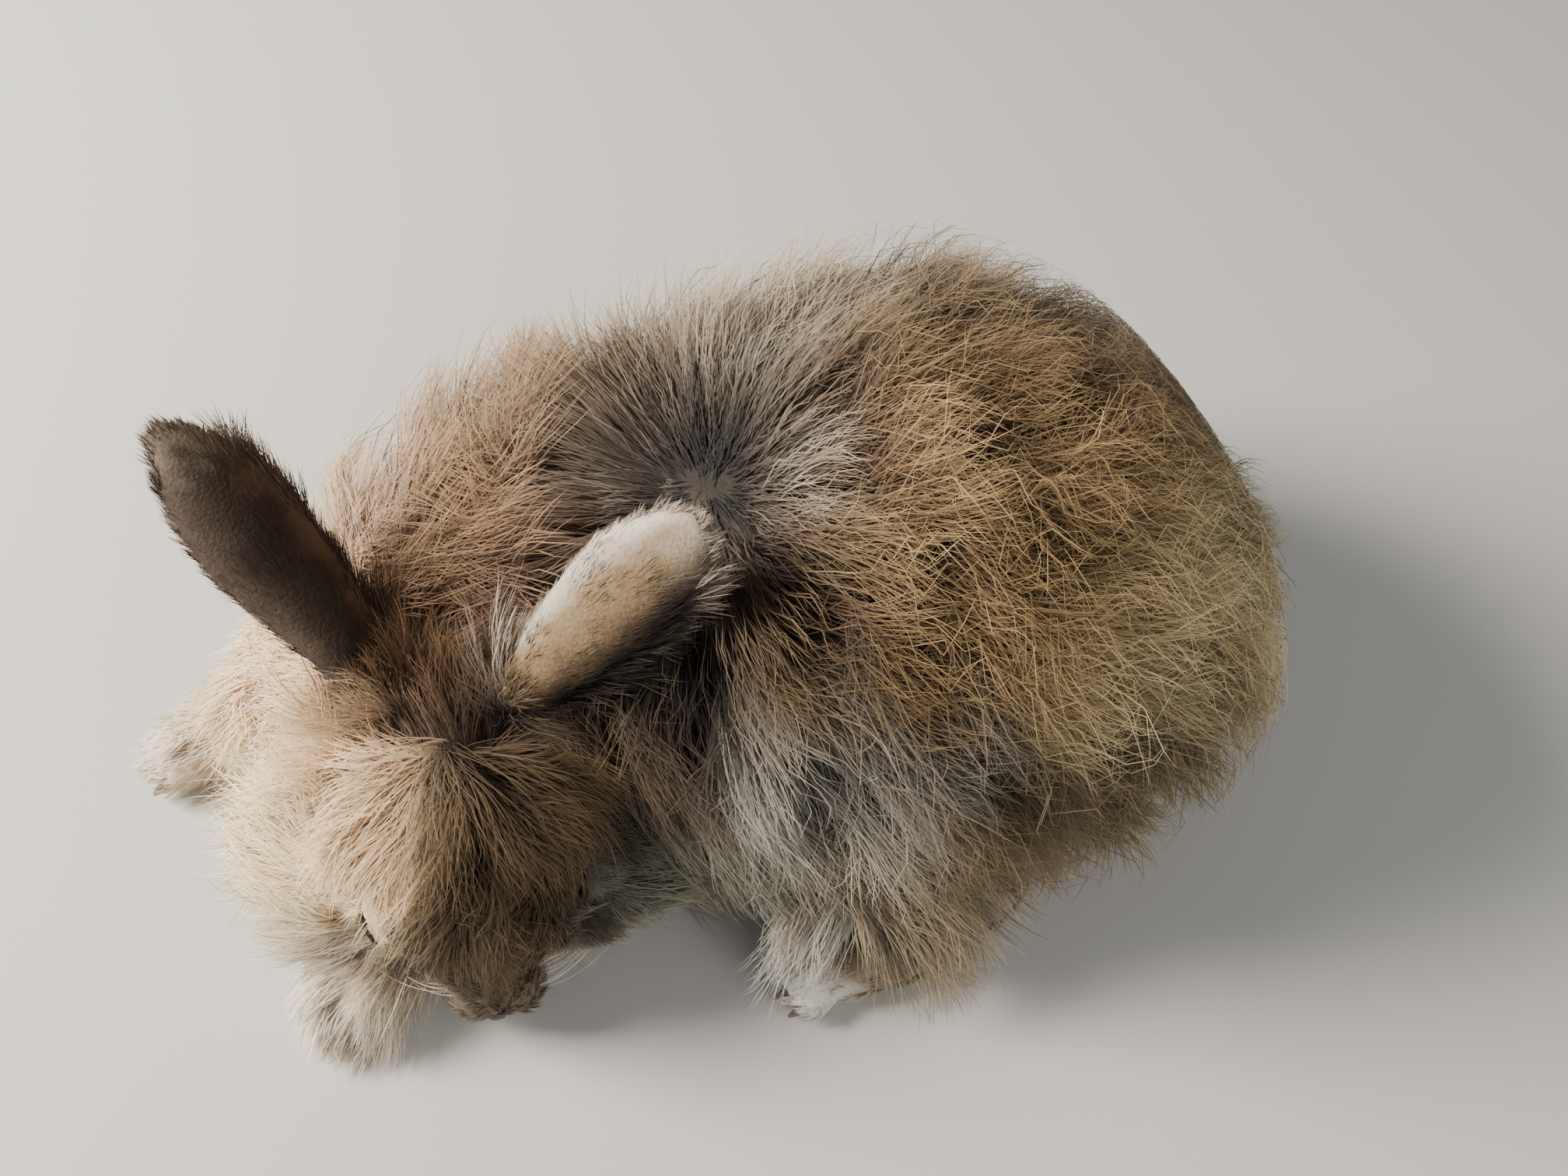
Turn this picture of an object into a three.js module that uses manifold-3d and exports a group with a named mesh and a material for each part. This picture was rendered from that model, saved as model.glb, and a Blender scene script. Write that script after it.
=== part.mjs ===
// A young angora rabbit lying in a crouch with its head turned to its left,
// life size, in millimetres. -Y is the way the body heads, +X is the rabbit's
// own left and +Z is up. The origin is on the floor under the middle of the
// trunk. Every solid reaches out to the tips of the coat.
import * as THREE from 'three';
import { mergeVertices } from 'three/addons/utils/BufferGeometryUtils.js';
import Module from 'manifold-3d';

const wasm = await Module();
wasm.setup();

const V = (x, y, z) => new THREE.Vector3(x, y, z);
const RIGHT = -1; // the rabbit's own right, towards -X
const LEFT = 1;

// Driving dimensions
const GAP = 0.3; // between solids that touch
const EYE_RADIUS = 7;
const EAR_WALL = 5; // thickness with its short fur
const HEAD_PLACE = V(32, -115, 55); // middle of the skull
const HEAD_TURN = THREE.MathUtils.degToRad(80); // about the vertical, to the rabbit's left
const HEAD_NOD = THREE.MathUtils.degToRad(25); // nose down
const EGG_BLUNT = 2.4; // power of the outline of limbs, face and neck along their length
const EAR_BLUNT = 4.5; // power of an ear's outline
const RIM_THINNING = 0.75; // share of an ear's wall squared that is gone at its rim
const TRUNK_BLUNT = 3.2; // power of the trunk's outline from chest to rump
const TRUNK_SQUARENESS = 2.3; // power of the trunk's section: 2 is an ellipse
const TRUNK_TIP = 6; // the trunk goes this far past its end stations
const TRUNK_SINK = 4; // the middle of a section lies this far below half its height

// The trunk from chest to rump: place along the body, then the middle, the
// half width and the top of the wool there, and how far the back leans to the
// rabbit's right, as the body bends round its left side.
const TRUNK = [
  [-176, -44, 40, 50, 0],
  [-148, -42, 62, 80, -8],
  [-112, -40, 66, 100, -18],
  [-75, -30, 74, 120, -22],
  [-35, -12, 90, 144, -18],
  [5, -2, 102, 159, -8],
  [45, 1, 105, 163, 0],
  [85, 4, 100, 152, 0],
  [122, 6, 84, 126, 0],
  [148, 6, 56, 90, 0],
];

// Solid helpers

function toSolid(geometry) {
  const bare = geometry.clone();
  bare.deleteAttribute('normal');
  bare.deleteAttribute('uv');
  const merged = mergeVertices(bare, 1e-4);
  return new wasm.Manifold(new wasm.Mesh({
    numProp: 3,
    vertProperties: new Float32Array(merged.attributes.position.array),
    triVerts: new Uint32Array(merged.index.array),
  }));
}

function toGeometry(solid) {
  const mesh = solid.getMesh();
  const geometry = new THREE.BufferGeometry();
  geometry.setAttribute('position', new THREE.BufferAttribute(mesh.vertProperties, 3));
  geometry.setIndex(new THREE.BufferAttribute(mesh.triVerts, 1));
  geometry.computeVertexNormals();
  return geometry;
}

const join = (...solids) => solids.reduce((all, solid) => all.add(solid));
const cut = (solid, ...tools) => tools.reduce((left, tool) => left.subtract(tool), solid);

function surface(points, index) {
  const geometry = new THREE.BufferGeometry().setFromPoints(points);
  geometry.setIndex(index);
  return geometry;
}

// The wall between neighbouring rings of points, all of one length. The rings
// start at a given place in the list of points.
function wallOfRings(rings, start) {
  const sides = rings[0].length;
  const at = (ring, side) => start + ring * sides + (side % sides);
  const index = [];
  for (let ring = 0; ring < rings.length - 1; ring++) {
    for (let side = 0; side < sides; side++) {
      index.push(at(ring, side), at(ring + 1, side), at(ring, side + 1));
      index.push(at(ring, side + 1), at(ring + 1, side), at(ring + 1, side + 1));
    }
  }
  return index;
}

// A closed surface over round rings between two poles.
function closeRings(firstPole, rings, lastPole) {
  const sides = rings[0].length;
  const points = [firstPole, ...rings.flat(), lastPole];
  const last = points.length - 1;
  const index = wallOfRings(rings, 1);
  for (let side = 0; side < sides; side++) {
    const next = (side + 1) % sides;
    index.push(0, 1 + side, 1 + next);
    index.push(last, last - sides + next, last - sides + side);
  }
  return surface(points, index);
}

// A closed surface over flat folded rings, whose two long sides face each other.
function closeFolds(rings) {
  const sides = rings[0].length;
  const lastRing = (rings.length - 1) * sides;
  const index = wallOfRings(rings, 0);
  for (let side = 0; side < sides / 2 - 1; side++) {
    const [a, b, c, d] = [side, side + 1, sides - 2 - side, sides - 1 - side];
    index.push(a, b, c, a, c, d);
    index.push(...[a, c, b, a, d, c].map((corner) => lastRing + corner));
  }
  return surface(rings.flat(), index);
}

// The smooth value of one column of a table of stations, at a value of its first column.
function between(stations, at, column) {
  const last = stations.length - 1;
  let k = 0;
  while (k < last - 1 && stations[k + 1][0] < at) k++;
  const [a, b] = [stations[k], stations[k + 1]];
  const slope = (p, q) => (q[column] - p[column]) / (q[0] - p[0]);
  const width = b[0] - a[0];
  const startSlope = k > 0 ? slope(stations[k - 1], b) : slope(a, b);
  const endSlope = k + 1 < last ? slope(a, stations[k + 2]) : slope(a, b);
  const t = THREE.MathUtils.clamp((at - a[0]) / width, 0, 1);
  return a[column] * (2 * t ** 3 - 3 * t ** 2 + 1) + startSlope * width * (t ** 3 - 2 * t ** 2 + t)
    + b[column] * (3 * t ** 2 - 2 * t ** 3) + endSlope * width * (t ** 3 - t ** 2);
}

// How full an egg is at a share t of its length: 0 at its ends, 1 in its middle.
const fullness = (t, blunt) => (1 - Math.abs(2 * t - 1) ** blunt) ** (1 / blunt);

// Shares of a length, closer together near both ends.
const eased = (count) => Array.from({ length: count - 1 },
  (_, k) => (1 - Math.cos(Math.PI * (k + 1) / count)) / 2);

// A rounded bar along a smooth path. Each station is
// [share of the path, half width, half height].
function bar({ path, stations, sides = 12, rings = 8, grow = 0, up = V(0, 0, 1) }) {
  const curve = new THREE.CatmullRomCurve3(path, false, 'centripetal');
  const made = eased(rings).map((t) => {
    const ahead = curve.getTangentAt(t);
    const wide = new THREE.Vector3().crossVectors(ahead, up).normalize();
    const high = new THREE.Vector3().crossVectors(wide, ahead).normalize();
    const halfWidth = between(stations, t, 1) * fullness(t, EGG_BLUNT) + grow;
    const halfHeight = between(stations, t, 2) * fullness(t, EGG_BLUNT) + grow;
    return Array.from({ length: sides }, (_, side) => {
      const angle = 2 * Math.PI * side / sides;
      return curve.getPointAt(t)
        .addScaledVector(ahead, grow * (2 * t - 1))
        .addScaledVector(wide, halfWidth * Math.cos(angle))
        .addScaledVector(high, halfHeight * Math.sin(angle));
    });
  });
  const first = curve.getPointAt(0).addScaledVector(curve.getTangentAt(0), -grow);
  const last = curve.getPointAt(1).addScaledVector(curve.getTangentAt(1), grow);
  return toSolid(closeRings(first, made, last));
}

// An egg-shaped lump of wool: half sizes along X, Y and Z, then turned and placed.
function lump(place, halfSizes, grow = 0, turn = new THREE.Euler(), detail = 7) {
  const geometry = new THREE.SphereGeometry(1, 2 * detail, detail);
  geometry.scale(halfSizes.x + grow, halfSizes.y + grow, halfSizes.z + grow);
  geometry.applyMatrix4(new THREE.Matrix4().makeRotationFromEuler(turn));
  geometry.translate(place.x, place.y, place.z);
  return toSolid(geometry);
}

// Everything below the floor, to cut flats where the body rests.
const belowFloor = toSolid(new THREE.BoxGeometry(1000, 1000, 200).translate(0, 0, -100));

// How far a rounded square reaches at an angle, where a circle reaches 1.
function squarish(angle) {
  const across = Math.abs(Math.cos(angle)) ** TRUNK_SQUARENESS;
  const upward = Math.abs(Math.sin(angle)) ** TRUNK_SQUARENESS;
  return (across + upward) ** (-1 / TRUNK_SQUARENESS);
}

// Trunk: chest, back, belly and rump in one, with a flat belly.
function trunk(grow) {
  const start = TRUNK[0][0] - TRUNK_TIP;
  const end = TRUNK.at(-1)[0] + TRUNK_TIP;
  const sides = 24;
  const rings = eased(15).map((t) => {
    const y = THREE.MathUtils.lerp(start, end, t);
    const full = fullness(t, TRUNK_BLUNT);
    const halfWidth = between(TRUNK, y, 2) * full + grow;
    const top = between(TRUNK, y, 3);
    const halfHeight = (top / 2 + TRUNK_SINK) * full + grow;
    return Array.from({ length: sides }, (_, side) => {
      const angle = 2 * Math.PI * side / sides;
      const round = squarish(angle);
      const lean = between(TRUNK, y, 4) * full * Math.sin(angle);
      return V(between(TRUNK, y, 1) + lean + halfWidth * Math.cos(angle) * round, y,
        top / 2 - TRUNK_SINK + halfHeight * Math.sin(angle) * round);
    });
  });
  const pole = (station, y) => V(station[1], y, station[3] / 2 - TRUNK_SINK);
  return toSolid(closeRings(pole(TRUNK[0], start - grow), rings, pole(TRUNK.at(-1), end + grow)));
}

// The head's own axes: +X to the nose, +Y to its left, +Z up through the crown.
const headMatrix = new THREE.Matrix4().makeTranslation(HEAD_PLACE)
  .multiply(new THREE.Matrix4().makeRotationZ(HEAD_TURN - Math.PI / 2))
  .multiply(new THREE.Matrix4().makeRotationY(HEAD_NOD));
const onHead = (x, y, z) => V(x, y, z).applyMatrix4(headMatrix);
const headTurn = new THREE.Euler().setFromRotationMatrix(headMatrix);

function head(grow) {
  const cap = lump(onHead(2, 0, 8), V(36, 48, 33), grow, headTurn, 8);
  const face = bar({
    path: [onHead(-40, 0, 0), onHead(0, 0, 2), onHead(30, 0, -4), onHead(60, 0, -16)],
    stations: [[0, 34, 34], [0.4, 36, 30], [0.7, 27, 24], [1, 21, 20]],
    sides: 14,
    rings: 10,
    grow,
  });
  const leftCheek = lump(onHead(26, 38, -16), V(30, 27, 24), grow, headTurn);
  const rightCheek = lump(onHead(8, -42, -20), V(36, 28, 26), grow, headTurn);
  return join(cap, face, leftCheek, rightCheek);
}

// The parted wool in front of an eye, from the eye out to the open air.
const socket = (side) => bar({
  path: [onHead(22, 22 * side, 4), onHead(30, 42 * side, 5), onHead(40, 72 * side, 8)],
  stations: [[0, 12, 12], [0.5, 12, 10], [1, 20, 14]],
});

function eye(side, grow) {
  return lump(onHead(24, 25 * side, 4), V(EYE_RADIUS, EYE_RADIUS, EYE_RADIUS), grow);
}

const nose = (grow) => lump(onHead(60, 0, -12), V(4, 6, 5), grow, headTurn, 6);

// A leaf-shaped ear, curled along its length like a scoop. The curl opens
// towards opening, and the wall gets thinner towards the rim.
function ear({ path, opening, grow = 0 }) {
  const curve = new THREE.CatmullRomCurve3(path, false, 'centripetal');
  // share of the length, half of the arc across, half angle of the curl
  const stations = [[0, 15, 2.6], [0.25, 17, 1.9], [0.6, 21, 1.25], [0.85, 17, 0.9], [1, 9, 0.7]];
  const across = 6;
  const rings = eased(12).map((t) => {
    const ahead = curve.getTangentAt(t);
    const out = opening.clone().addScaledVector(ahead, -opening.dot(ahead)).normalize();
    const side = new THREE.Vector3().crossVectors(ahead, out).normalize();
    const halfArc = between(stations, t, 1) * fullness(t, EAR_BLUNT);
    const curl = between(stations, t, 2);
    const radius = halfArc / curl;
    const wall = EAR_WALL * fullness(t, EAR_BLUNT) / 2;
    const pointAt = (share, face) => {
      const angle = share * (halfArc + grow) / radius;
      const rim = Math.sqrt(1 - share ** 2 * RIM_THINNING);
      const depth = radius + face * (wall * rim + grow);
      return curve.getPointAt(t)
        .addScaledVector(ahead, grow * (2 * t - 1))
        .addScaledVector(out, radius - depth * Math.cos(angle))
        .addScaledVector(side, depth * Math.sin(angle));
    };
    const shares = Array.from({ length: across + 1 }, (_, k) => 2 * k / across - 1);
    return [...shares.map((s) => pointAt(s, 1)), ...shares.reverse().map((s) => pointAt(s, -1))];
  });
  return toSolid(closeFolds(rings));
}

const earRight = (grow) => ear({
  path: [V(14, -123, 68), V(-10, -131, 94), V(-40, -148, 121), V(-67, -162, 136)],
  opening: V(-0.75, -0.45, -0.4),
  grow,
});
const earLeft = (grow) => ear({
  path: [V(14, -106, 66), V(18, -86, 102), V(20, -61, 131), V(20, -36, 149)],
  opening: V(-0.45, 0.45, -0.77),
  grow,
});

const neck = (grow) => bar({
  path: [V(-44, -98, 52), V(-12, -112, 58), V(20, -116, 56)],
  stations: [[0, 44, 38], [0.5, 44, 32], [1, 40, 28]],
  grow,
});

function thigh(side, grow) {
  return join(
    lump(V(62 * side, 46, 52), V(44, 66, 52), grow, new THREE.Euler(), 8),
    lump(V(78 * side, 0, 30), V(28, 36, 30), grow, new THREE.Euler(), 6),
  );
}

const hindFootPath = (side) => [V(86 * side, 52, 12), V(97 * side, 10, 9), V(95 * side, -42, 8)];
const hindFoot = (side, grow) => bar({
  path: hindFootPath(side),
  stations: [[0, 15, 15], [0.5, 15, 12], [1, 17, 11]],
  grow,
});

const forelegPaths = {
  [RIGHT]: [V(-40, -130, 46), V(-43, -165, 24), V(-44, -190, 16)],
  [LEFT]: [V(14, -130, 36), V(34, -148, 20), V(48, -158, 14)],
};
const forepawPaths = {
  [RIGHT]: [V(-43, -178, 14), V(-44, -196, 11), V(-44, -218, 8)],
  [LEFT]: [V(40, -150, 14), V(50, -158, 11), V(66, -170, 8)],
};
const foreleg = (side, grow) => bar({
  path: forelegPaths[side],
  stations: [[0, 30, 30], [0.5, 22, 20], [1, 18, 16]],
  grow,
});
const forepaw = (side, grow) => bar({
  path: forepawPaths[side],
  stations: [[0, 16, 13], [0.5, 18, 12], [1, 16, 10]],
  grow,
});

// The claws of one paw stand side by side in its front edge, and only their
// tips show out of the fur.
const CLAWS = 4;
const CLAW_SPACING = 6.5;
const PAW_ROUNDING = 0.032; // how fast the paw's front edge falls back beside its middle
// Along a claw: how far past the end of the paw's path, and how high.
const CLAW_LINE = [[-6, 7], [-1.5, 6.2], [2.2, 3]];
function claw(path, number, grow) {
  const place = CLAW_SPACING * (number - (CLAWS - 1) / 2);
  const ahead = path.at(-1).clone().sub(path.at(-2)).setZ(0).normalize();
  const across = V(ahead.y, -ahead.x, 0);
  const back = PAW_ROUNDING * place ** 2;
  const at = (forward, height) => path.at(-1).clone().setZ(height)
    .addScaledVector(ahead, forward - back)
    .addScaledVector(across, place);
  return bar({
    path: CLAW_LINE.map(([forward, height]) => at(forward, height)),
    stations: [[0, 1.5, 2], [0.5, 1.4, 1.7], [1, 0.9, 1.1]],
    sides: 5,
    rings: 4,
    grow,
  });
}
const claws = (path, grow) => Array.from({ length: CLAWS }, (_, number) => claw(path, number, grow));

const tail = (grow) => bar({
  path: [V(0, 130, 28), V(0, 152, 40), V(0, 158, 66)],
  stations: [[0, 16, 12], [0.5, 22, 13], [1, 18, 12]],
  grow,
  up: V(0, -1, 0),
});

// Assembly: each piece keeps clear of the ones made before it.
const group = new THREE.Group();

function addPiece(name, solid, color, roughness = 0.95) {
  const material = new THREE.MeshStandardMaterial({ color, roughness, metalness: 0 });
  const mesh = new THREE.Mesh(toGeometry(solid), material);
  mesh.name = name;
  group.add(mesh);
}

const sideName = { [LEFT]: 'left', [RIGHT]: 'right' };
const WOOL = '#a07c58';
const CREAM = '#e6d9c4';
const HORN = '#5a4a3e';
const EYE_BROWN = '#24160f';
const NOSE_PINK = '#c9968a';
const sides = [LEFT, RIGHT];
const earsWithGap = [earLeft(2 * GAP), earRight(2 * GAP)];

addPiece('head', cut(head(0), ...sides.map(socket), ...sides.map((side) => eye(side, GAP)), nose(GAP),
  ...earsWithGap), WOOL);
addPiece('nose', nose(0), NOSE_PINK);
addPiece('ear_left', earLeft(0), WOOL);
addPiece('ear_right', earRight(0), WOOL);
addPiece('neck', cut(neck(0), head(GAP), trunk(GAP), ...earsWithGap), WOOL);
for (const side of sides) {
  const name = sideName[side];
  const frontClaws = claws(forepawPaths[side], GAP);
  const hindClaws = claws(hindFootPath(side), GAP);
  addPiece(`eye_${name}`, eye(side, 0), EYE_BROWN, 0.1);
  addPiece(`forepaw_${name}`, cut(forepaw(side, 0), belowFloor, head(GAP), ...frontClaws), CREAM);
  addPiece(`foreleg_${name}`, cut(foreleg(side, 0), belowFloor, head(GAP), trunk(GAP),
    forepaw(side, GAP)), WOOL);
  addPiece(`hind_foot_${name}`, cut(hindFoot(side, 0), belowFloor, ...hindClaws), CREAM);
  addPiece(`thigh_${name}`, cut(thigh(side, 0), belowFloor, hindFoot(side, GAP)), WOOL);
  for (const [kind, path] of [['front', forepawPaths[side]], ['hind', hindFootPath(side)]]) {
    claws(path, 0).forEach((solid, k) => {
      addPiece(`${kind}_claw_${name}_${k + 1}`, solid, HORN, 0.4);
    });
  }
}
addPiece('tail', cut(tail(0), belowFloor), WOOL);
const besideTrunk = sides.flatMap((side) => [thigh(side, GAP), hindFoot(side, GAP), forepaw(side, GAP)]);
addPiece('trunk', cut(trunk(0), belowFloor, head(GAP), tail(GAP), ...earsWithGap, ...besideTrunk), WOOL);

export default group;
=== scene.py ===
"""Looks of a young angora rabbit, a life-size model lying in a crouch with its head turned.

Shapes are worked out in millimetres on the body's axes: -Y is the way the body heads, +X is the
rabbit's own left, +Z is up. One skin lies inside the outline by the depth of the coat, and the
coat is made of flat tapered strands in tufts that are rooted in the skin.
"""

import math

import bpy
import numpy as np
from mathutils import Matrix


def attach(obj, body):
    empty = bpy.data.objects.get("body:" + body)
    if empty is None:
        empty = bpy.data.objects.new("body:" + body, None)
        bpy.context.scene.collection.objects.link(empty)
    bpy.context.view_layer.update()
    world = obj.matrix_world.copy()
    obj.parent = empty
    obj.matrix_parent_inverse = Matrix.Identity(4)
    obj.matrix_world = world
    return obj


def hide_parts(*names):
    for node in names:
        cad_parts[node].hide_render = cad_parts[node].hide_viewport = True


MM = 0.001
RIGHT, LEFT = -1, 1
SIDE_NAME = {LEFT: "left", RIGHT: "right"}

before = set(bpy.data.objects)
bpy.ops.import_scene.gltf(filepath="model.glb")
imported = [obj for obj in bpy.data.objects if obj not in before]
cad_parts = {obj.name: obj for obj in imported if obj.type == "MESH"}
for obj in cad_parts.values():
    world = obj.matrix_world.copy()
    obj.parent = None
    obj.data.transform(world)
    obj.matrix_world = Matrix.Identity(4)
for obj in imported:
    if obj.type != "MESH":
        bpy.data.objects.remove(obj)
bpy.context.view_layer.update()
chance = np.random.default_rng(20)

# Measures of the body, in millimetres

# Trunk stations from chest to rump: place, middle, half width, top of the wool, lean of the back.
TRUNK = [
    [-176, -44, 40, 50, 0],
    [-148, -42, 62, 80, -8],
    [-112, -40, 66, 100, -18],
    [-75, -30, 74, 120, -22],
    [-35, -12, 90, 144, -18],
    [5, -2, 102, 159, -8],
    [45, 1, 105, 163, 0],
    [85, 4, 100, 152, 0],
    [122, 6, 84, 126, 0],
    [148, 6, 56, 90, 0],
]
TRUNK_START, TRUNK_END = -182, 154
SKIN_START, SKIN_END = -168, 130  # the trunk's skin inside those ends
TRUNK_SINK = 8  # how far its outline reaches below the floor, where it is cut flat
ROUNDNESS = 2.3  # power of its cross section: 2 is an ellipse
END_ROUNDNESS = 3.2  # the same for how it closes towards both ends
SPILL = 1.04  # share of the outline within which wool isn't drawn in
WOOL_DEPTH = 31  # from skin to outline over the back and sides
BELLY_DEPTH = 8
SKIN_GRID, QUICK_SKIN_GRID = 1.6, 2.2
# Axis, line beyond which the coat bends off, and how far past it a strand may reach.
FAR_LINES = ((0, 117, 11), (0, -117, -11), (1, 172, 15), (2, 166, 9))
MIDDLE_TONE = 0.55  # where along a strand its middle tone lies

HEAD_PLACE = np.array([32.0, -115.0, 55.0])
HEAD_TURN = math.radians(-10)
HEAD_NOD = math.radians(25)
EYE_RADIUS = 7.0
EYE_PLACE = np.array([24.0, 25.0, 4.0])  # the left one, on the head's own axes
EYE_WAY = np.array([0.28, 0.95, 0.1])  # the way it looks
NOSE_PLACE = np.array([57.6, 0.0, -12.5])
NOSE_SIZE = (2.6, 4.7, 3.3)
WHISKERS = 26
CLAW_ARCH = ((-6, 7), (-1.5, 6.2), (2.2, 3))  # ahead of the tip of the foot, and above the floor

CHEEKS = {LEFT: ([22, 28, -12], (20, 18, 17)), RIGHT: ([8, -31, -14], (25, 18, 18))}

EAR_EDGE = 1.2  # how far across an ear places are told apart, where 1 is the rim
EAR_STATIONS = [[0, 15, 2.6], [0.25, 17, 1.9], [0.6, 21, 1.25], [0.85, 17, 0.9], [1, 9, 0.7]]
EARS = {
    RIGHT: ([[14, -123, 68], [-10, -131, 94], [-40, -148, 121], [-67, -162, 136]], [-0.75, -0.45, -0.4]),
    LEFT: ([[14, -106, 66], [18, -86, 102], [20, -61, 131], [20, -36, 149]], [-0.45, 0.45, -0.77]),
}
FORELEGS = {
    RIGHT: [[-40, -130, 46], [-43, -165, 24], [-44, -190, 16]],
    LEFT: [[14, -130, 36], [34, -148, 20], [48, -158, 14]],
}
FOREPAWS = {
    RIGHT: [[-43, -178, 14], [-44, -196, 11], [-44, -218, 8]],
    LEFT: [[40, -150, 14], [50, -158, 11], [66, -170, 8]],
}
HIND_FEET = {side: [[86 * side, 52, 12], [97 * side, 10, 9], [95 * side, -42, 8]] for side in (LEFT, RIGHT)}
TAIL = [[0, 124, 28], [0, 144, 40], [0, 150, 64]]
WHORL = np.array([-14.0, -27.0, 143.0])  # where the wool of the back parts all round

# Measures of the studio, in metres

FLOOR_SIZE = 6
LAMPS_AIM = np.array([0, 0, 0.06])
KEY_PLACE, FILL_PLACE = np.array([-0.5, -1.1, 0.85]), np.array([1.2, 0.6, 1.0])
SKY_LIGHT = 0.17
LENS, SENSOR = 28.04, 36  # focal length and width of the film, in millimetres
CAMERA_PLACE = np.array([0.1905, -0.0863, 0.390])
CAMERA_WAY, CAMERA_UP = np.array([-0.507, 0.211, -0.836]), np.array([-0.791, 0.270, 0.548])


# Small sums on arrays

def unit(vectors):
    """Vectors divided by their own length."""
    return vectors / np.maximum(np.linalg.norm(vectors, axis=-1, keepdims=True), 1e-9)


def dot(a, b):
    """Sums of products along the last axis, kept as a column."""
    return np.sum(a * b, axis=-1, keepdims=True)


def ramp(value, start, end):
    """0 before start, 1 after end, and a smooth 3t^2 - 2t^3 in between."""
    t = np.clip((value - start) / (end - start), 0, 1)
    return t * t * (3 - 2 * t)


def blend(first, second, share):
    """The first where share is 0, the second where it is 1."""
    return first * (1 - share) + second * share


def fullness(share, blunt):
    """How full an egg is along its length: (1 - |2t - 1|^b)^(1/b)."""
    return (1 - np.abs(2 * share - 1) ** blunt) ** (1 / blunt)


def eased(count):
    """Shares of a length, closer together near both ends: (1 - cos(pi k / n)) / 2."""
    return (1 - np.cos(np.pi * np.arange(1, count) / count)) / 2


def between(stations, at):
    """Smooth values of a table's other columns at values of its first.

    Each stretch is a cubic whose end slopes are the mean slope over the rows beside that row.
    """
    table = np.asarray(stations, float)
    x, y = table[:, 0], table[:, 1:]
    slope = np.gradient(y, axis=0)
    slope[1:-1] = (y[2:] - y[:-2]) / (x[2:] - x[:-2])[:, None]
    slope[0] = (y[1] - y[0]) / (x[1] - x[0])
    slope[-1] = (y[-1] - y[-2]) / (x[-1] - x[-2])
    at = np.atleast_1d(np.asarray(at, float))
    k = np.clip(np.searchsorted(x, at) - 1, 0, len(x) - 2)
    wide = (x[k + 1] - x[k])[:, None]
    t = np.clip((at - x[k])[:, None] / wide, 0, 1)
    return (y[k] * (2 * t**3 - 3 * t**2 + 1) + slope[k] * wide * (t**3 - 2 * t**2 + t)
            + y[k + 1] * (3 * t**2 - 2 * t**3) + slope[k + 1] * wide * (t**3 - t**2))


def follow(path, shares, up=(0, 0, 1)):
    """Points, and unit vectors ahead, across and up, at shares of the length of a smooth path."""
    path = np.asarray(path, float)
    chord = np.r_[0, np.cumsum(np.linalg.norm(np.diff(path, axis=0), axis=1))]
    fine = between(np.c_[chord, path], np.linspace(0, chord[-1], 300))
    gone = np.r_[0, np.cumsum(np.linalg.norm(np.diff(fine, axis=0), axis=1))]
    slope = np.gradient(fine, axis=0)
    at = np.atleast_1d(shares) * gone[-1]
    point = np.stack([np.interp(at, gone, fine[:, k]) for k in range(3)], axis=-1)
    ahead = unit(np.stack([np.interp(at, gone, slope[:, k]) for k in range(3)], axis=-1))
    wide = unit(np.cross(ahead, up))
    return point, ahead, wide, unit(np.cross(wide, ahead))


def drift(points, size, seed, waves=5):
    """A smooth field from about -1 to 1: the mean of sine waves of about that length in chosen directions."""
    dice = np.random.default_rng(seed)
    way = unit(dice.normal(size=(waves, 3))) * (2 * np.pi / (size * dice.uniform(0.7, 1.4, (waves, 1))))
    return np.sin(points @ way.T + dice.uniform(0, 2 * np.pi, waves)).sum(-1) / math.sqrt(waves) / 1.2


def srgb(code):
    """A hex colour such as c8a070, turned from sRGB to linear red, green and blue."""
    value = np.array([int(code[k:k + 2], 16) for k in (0, 2, 4)]) / 255
    return np.where(value <= 0.04045, value / 12.92, ((value + 0.055) / 1.055) ** 2.4)


def head_axes():
    """The head's own axes as columns: +X to the nose, +Y to its left, +Z up through the crown."""
    cos_turn, sin_turn = math.cos(HEAD_TURN), math.sin(HEAD_TURN)
    cos_nod, sin_nod = math.cos(HEAD_NOD), math.sin(HEAD_NOD)
    turn = np.array([[cos_turn, -sin_turn, 0], [sin_turn, cos_turn, 0], [0, 0, 1]])
    nod = np.array([[cos_nod, 0, sin_nod], [0, 1, 0], [-sin_nod, 0, cos_nod]])
    return turn @ nod


HEAD_AXES = head_axes()


def on_head(local):
    """Points on the head's axes, put on the body's axes."""
    return HEAD_PLACE + np.asarray(local, float) @ HEAD_AXES.T


def off_head(points):
    """Points on the body's axes, put on the head's axes."""
    return (points - HEAD_PLACE) @ HEAD_AXES


def mirrored(local):
    """Points on the head's axes, brought to its left half."""
    return np.stack([local[..., 0], np.abs(local[..., 1]), local[..., 2]], -1)


def eye_gap(local):
    """Distance on the head's axes from the middle of the nearer eye."""
    return np.linalg.norm(mirrored(local) - EYE_PLACE, axis=-1)


# Closed surfaces: each is (corners, triangles)

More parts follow.
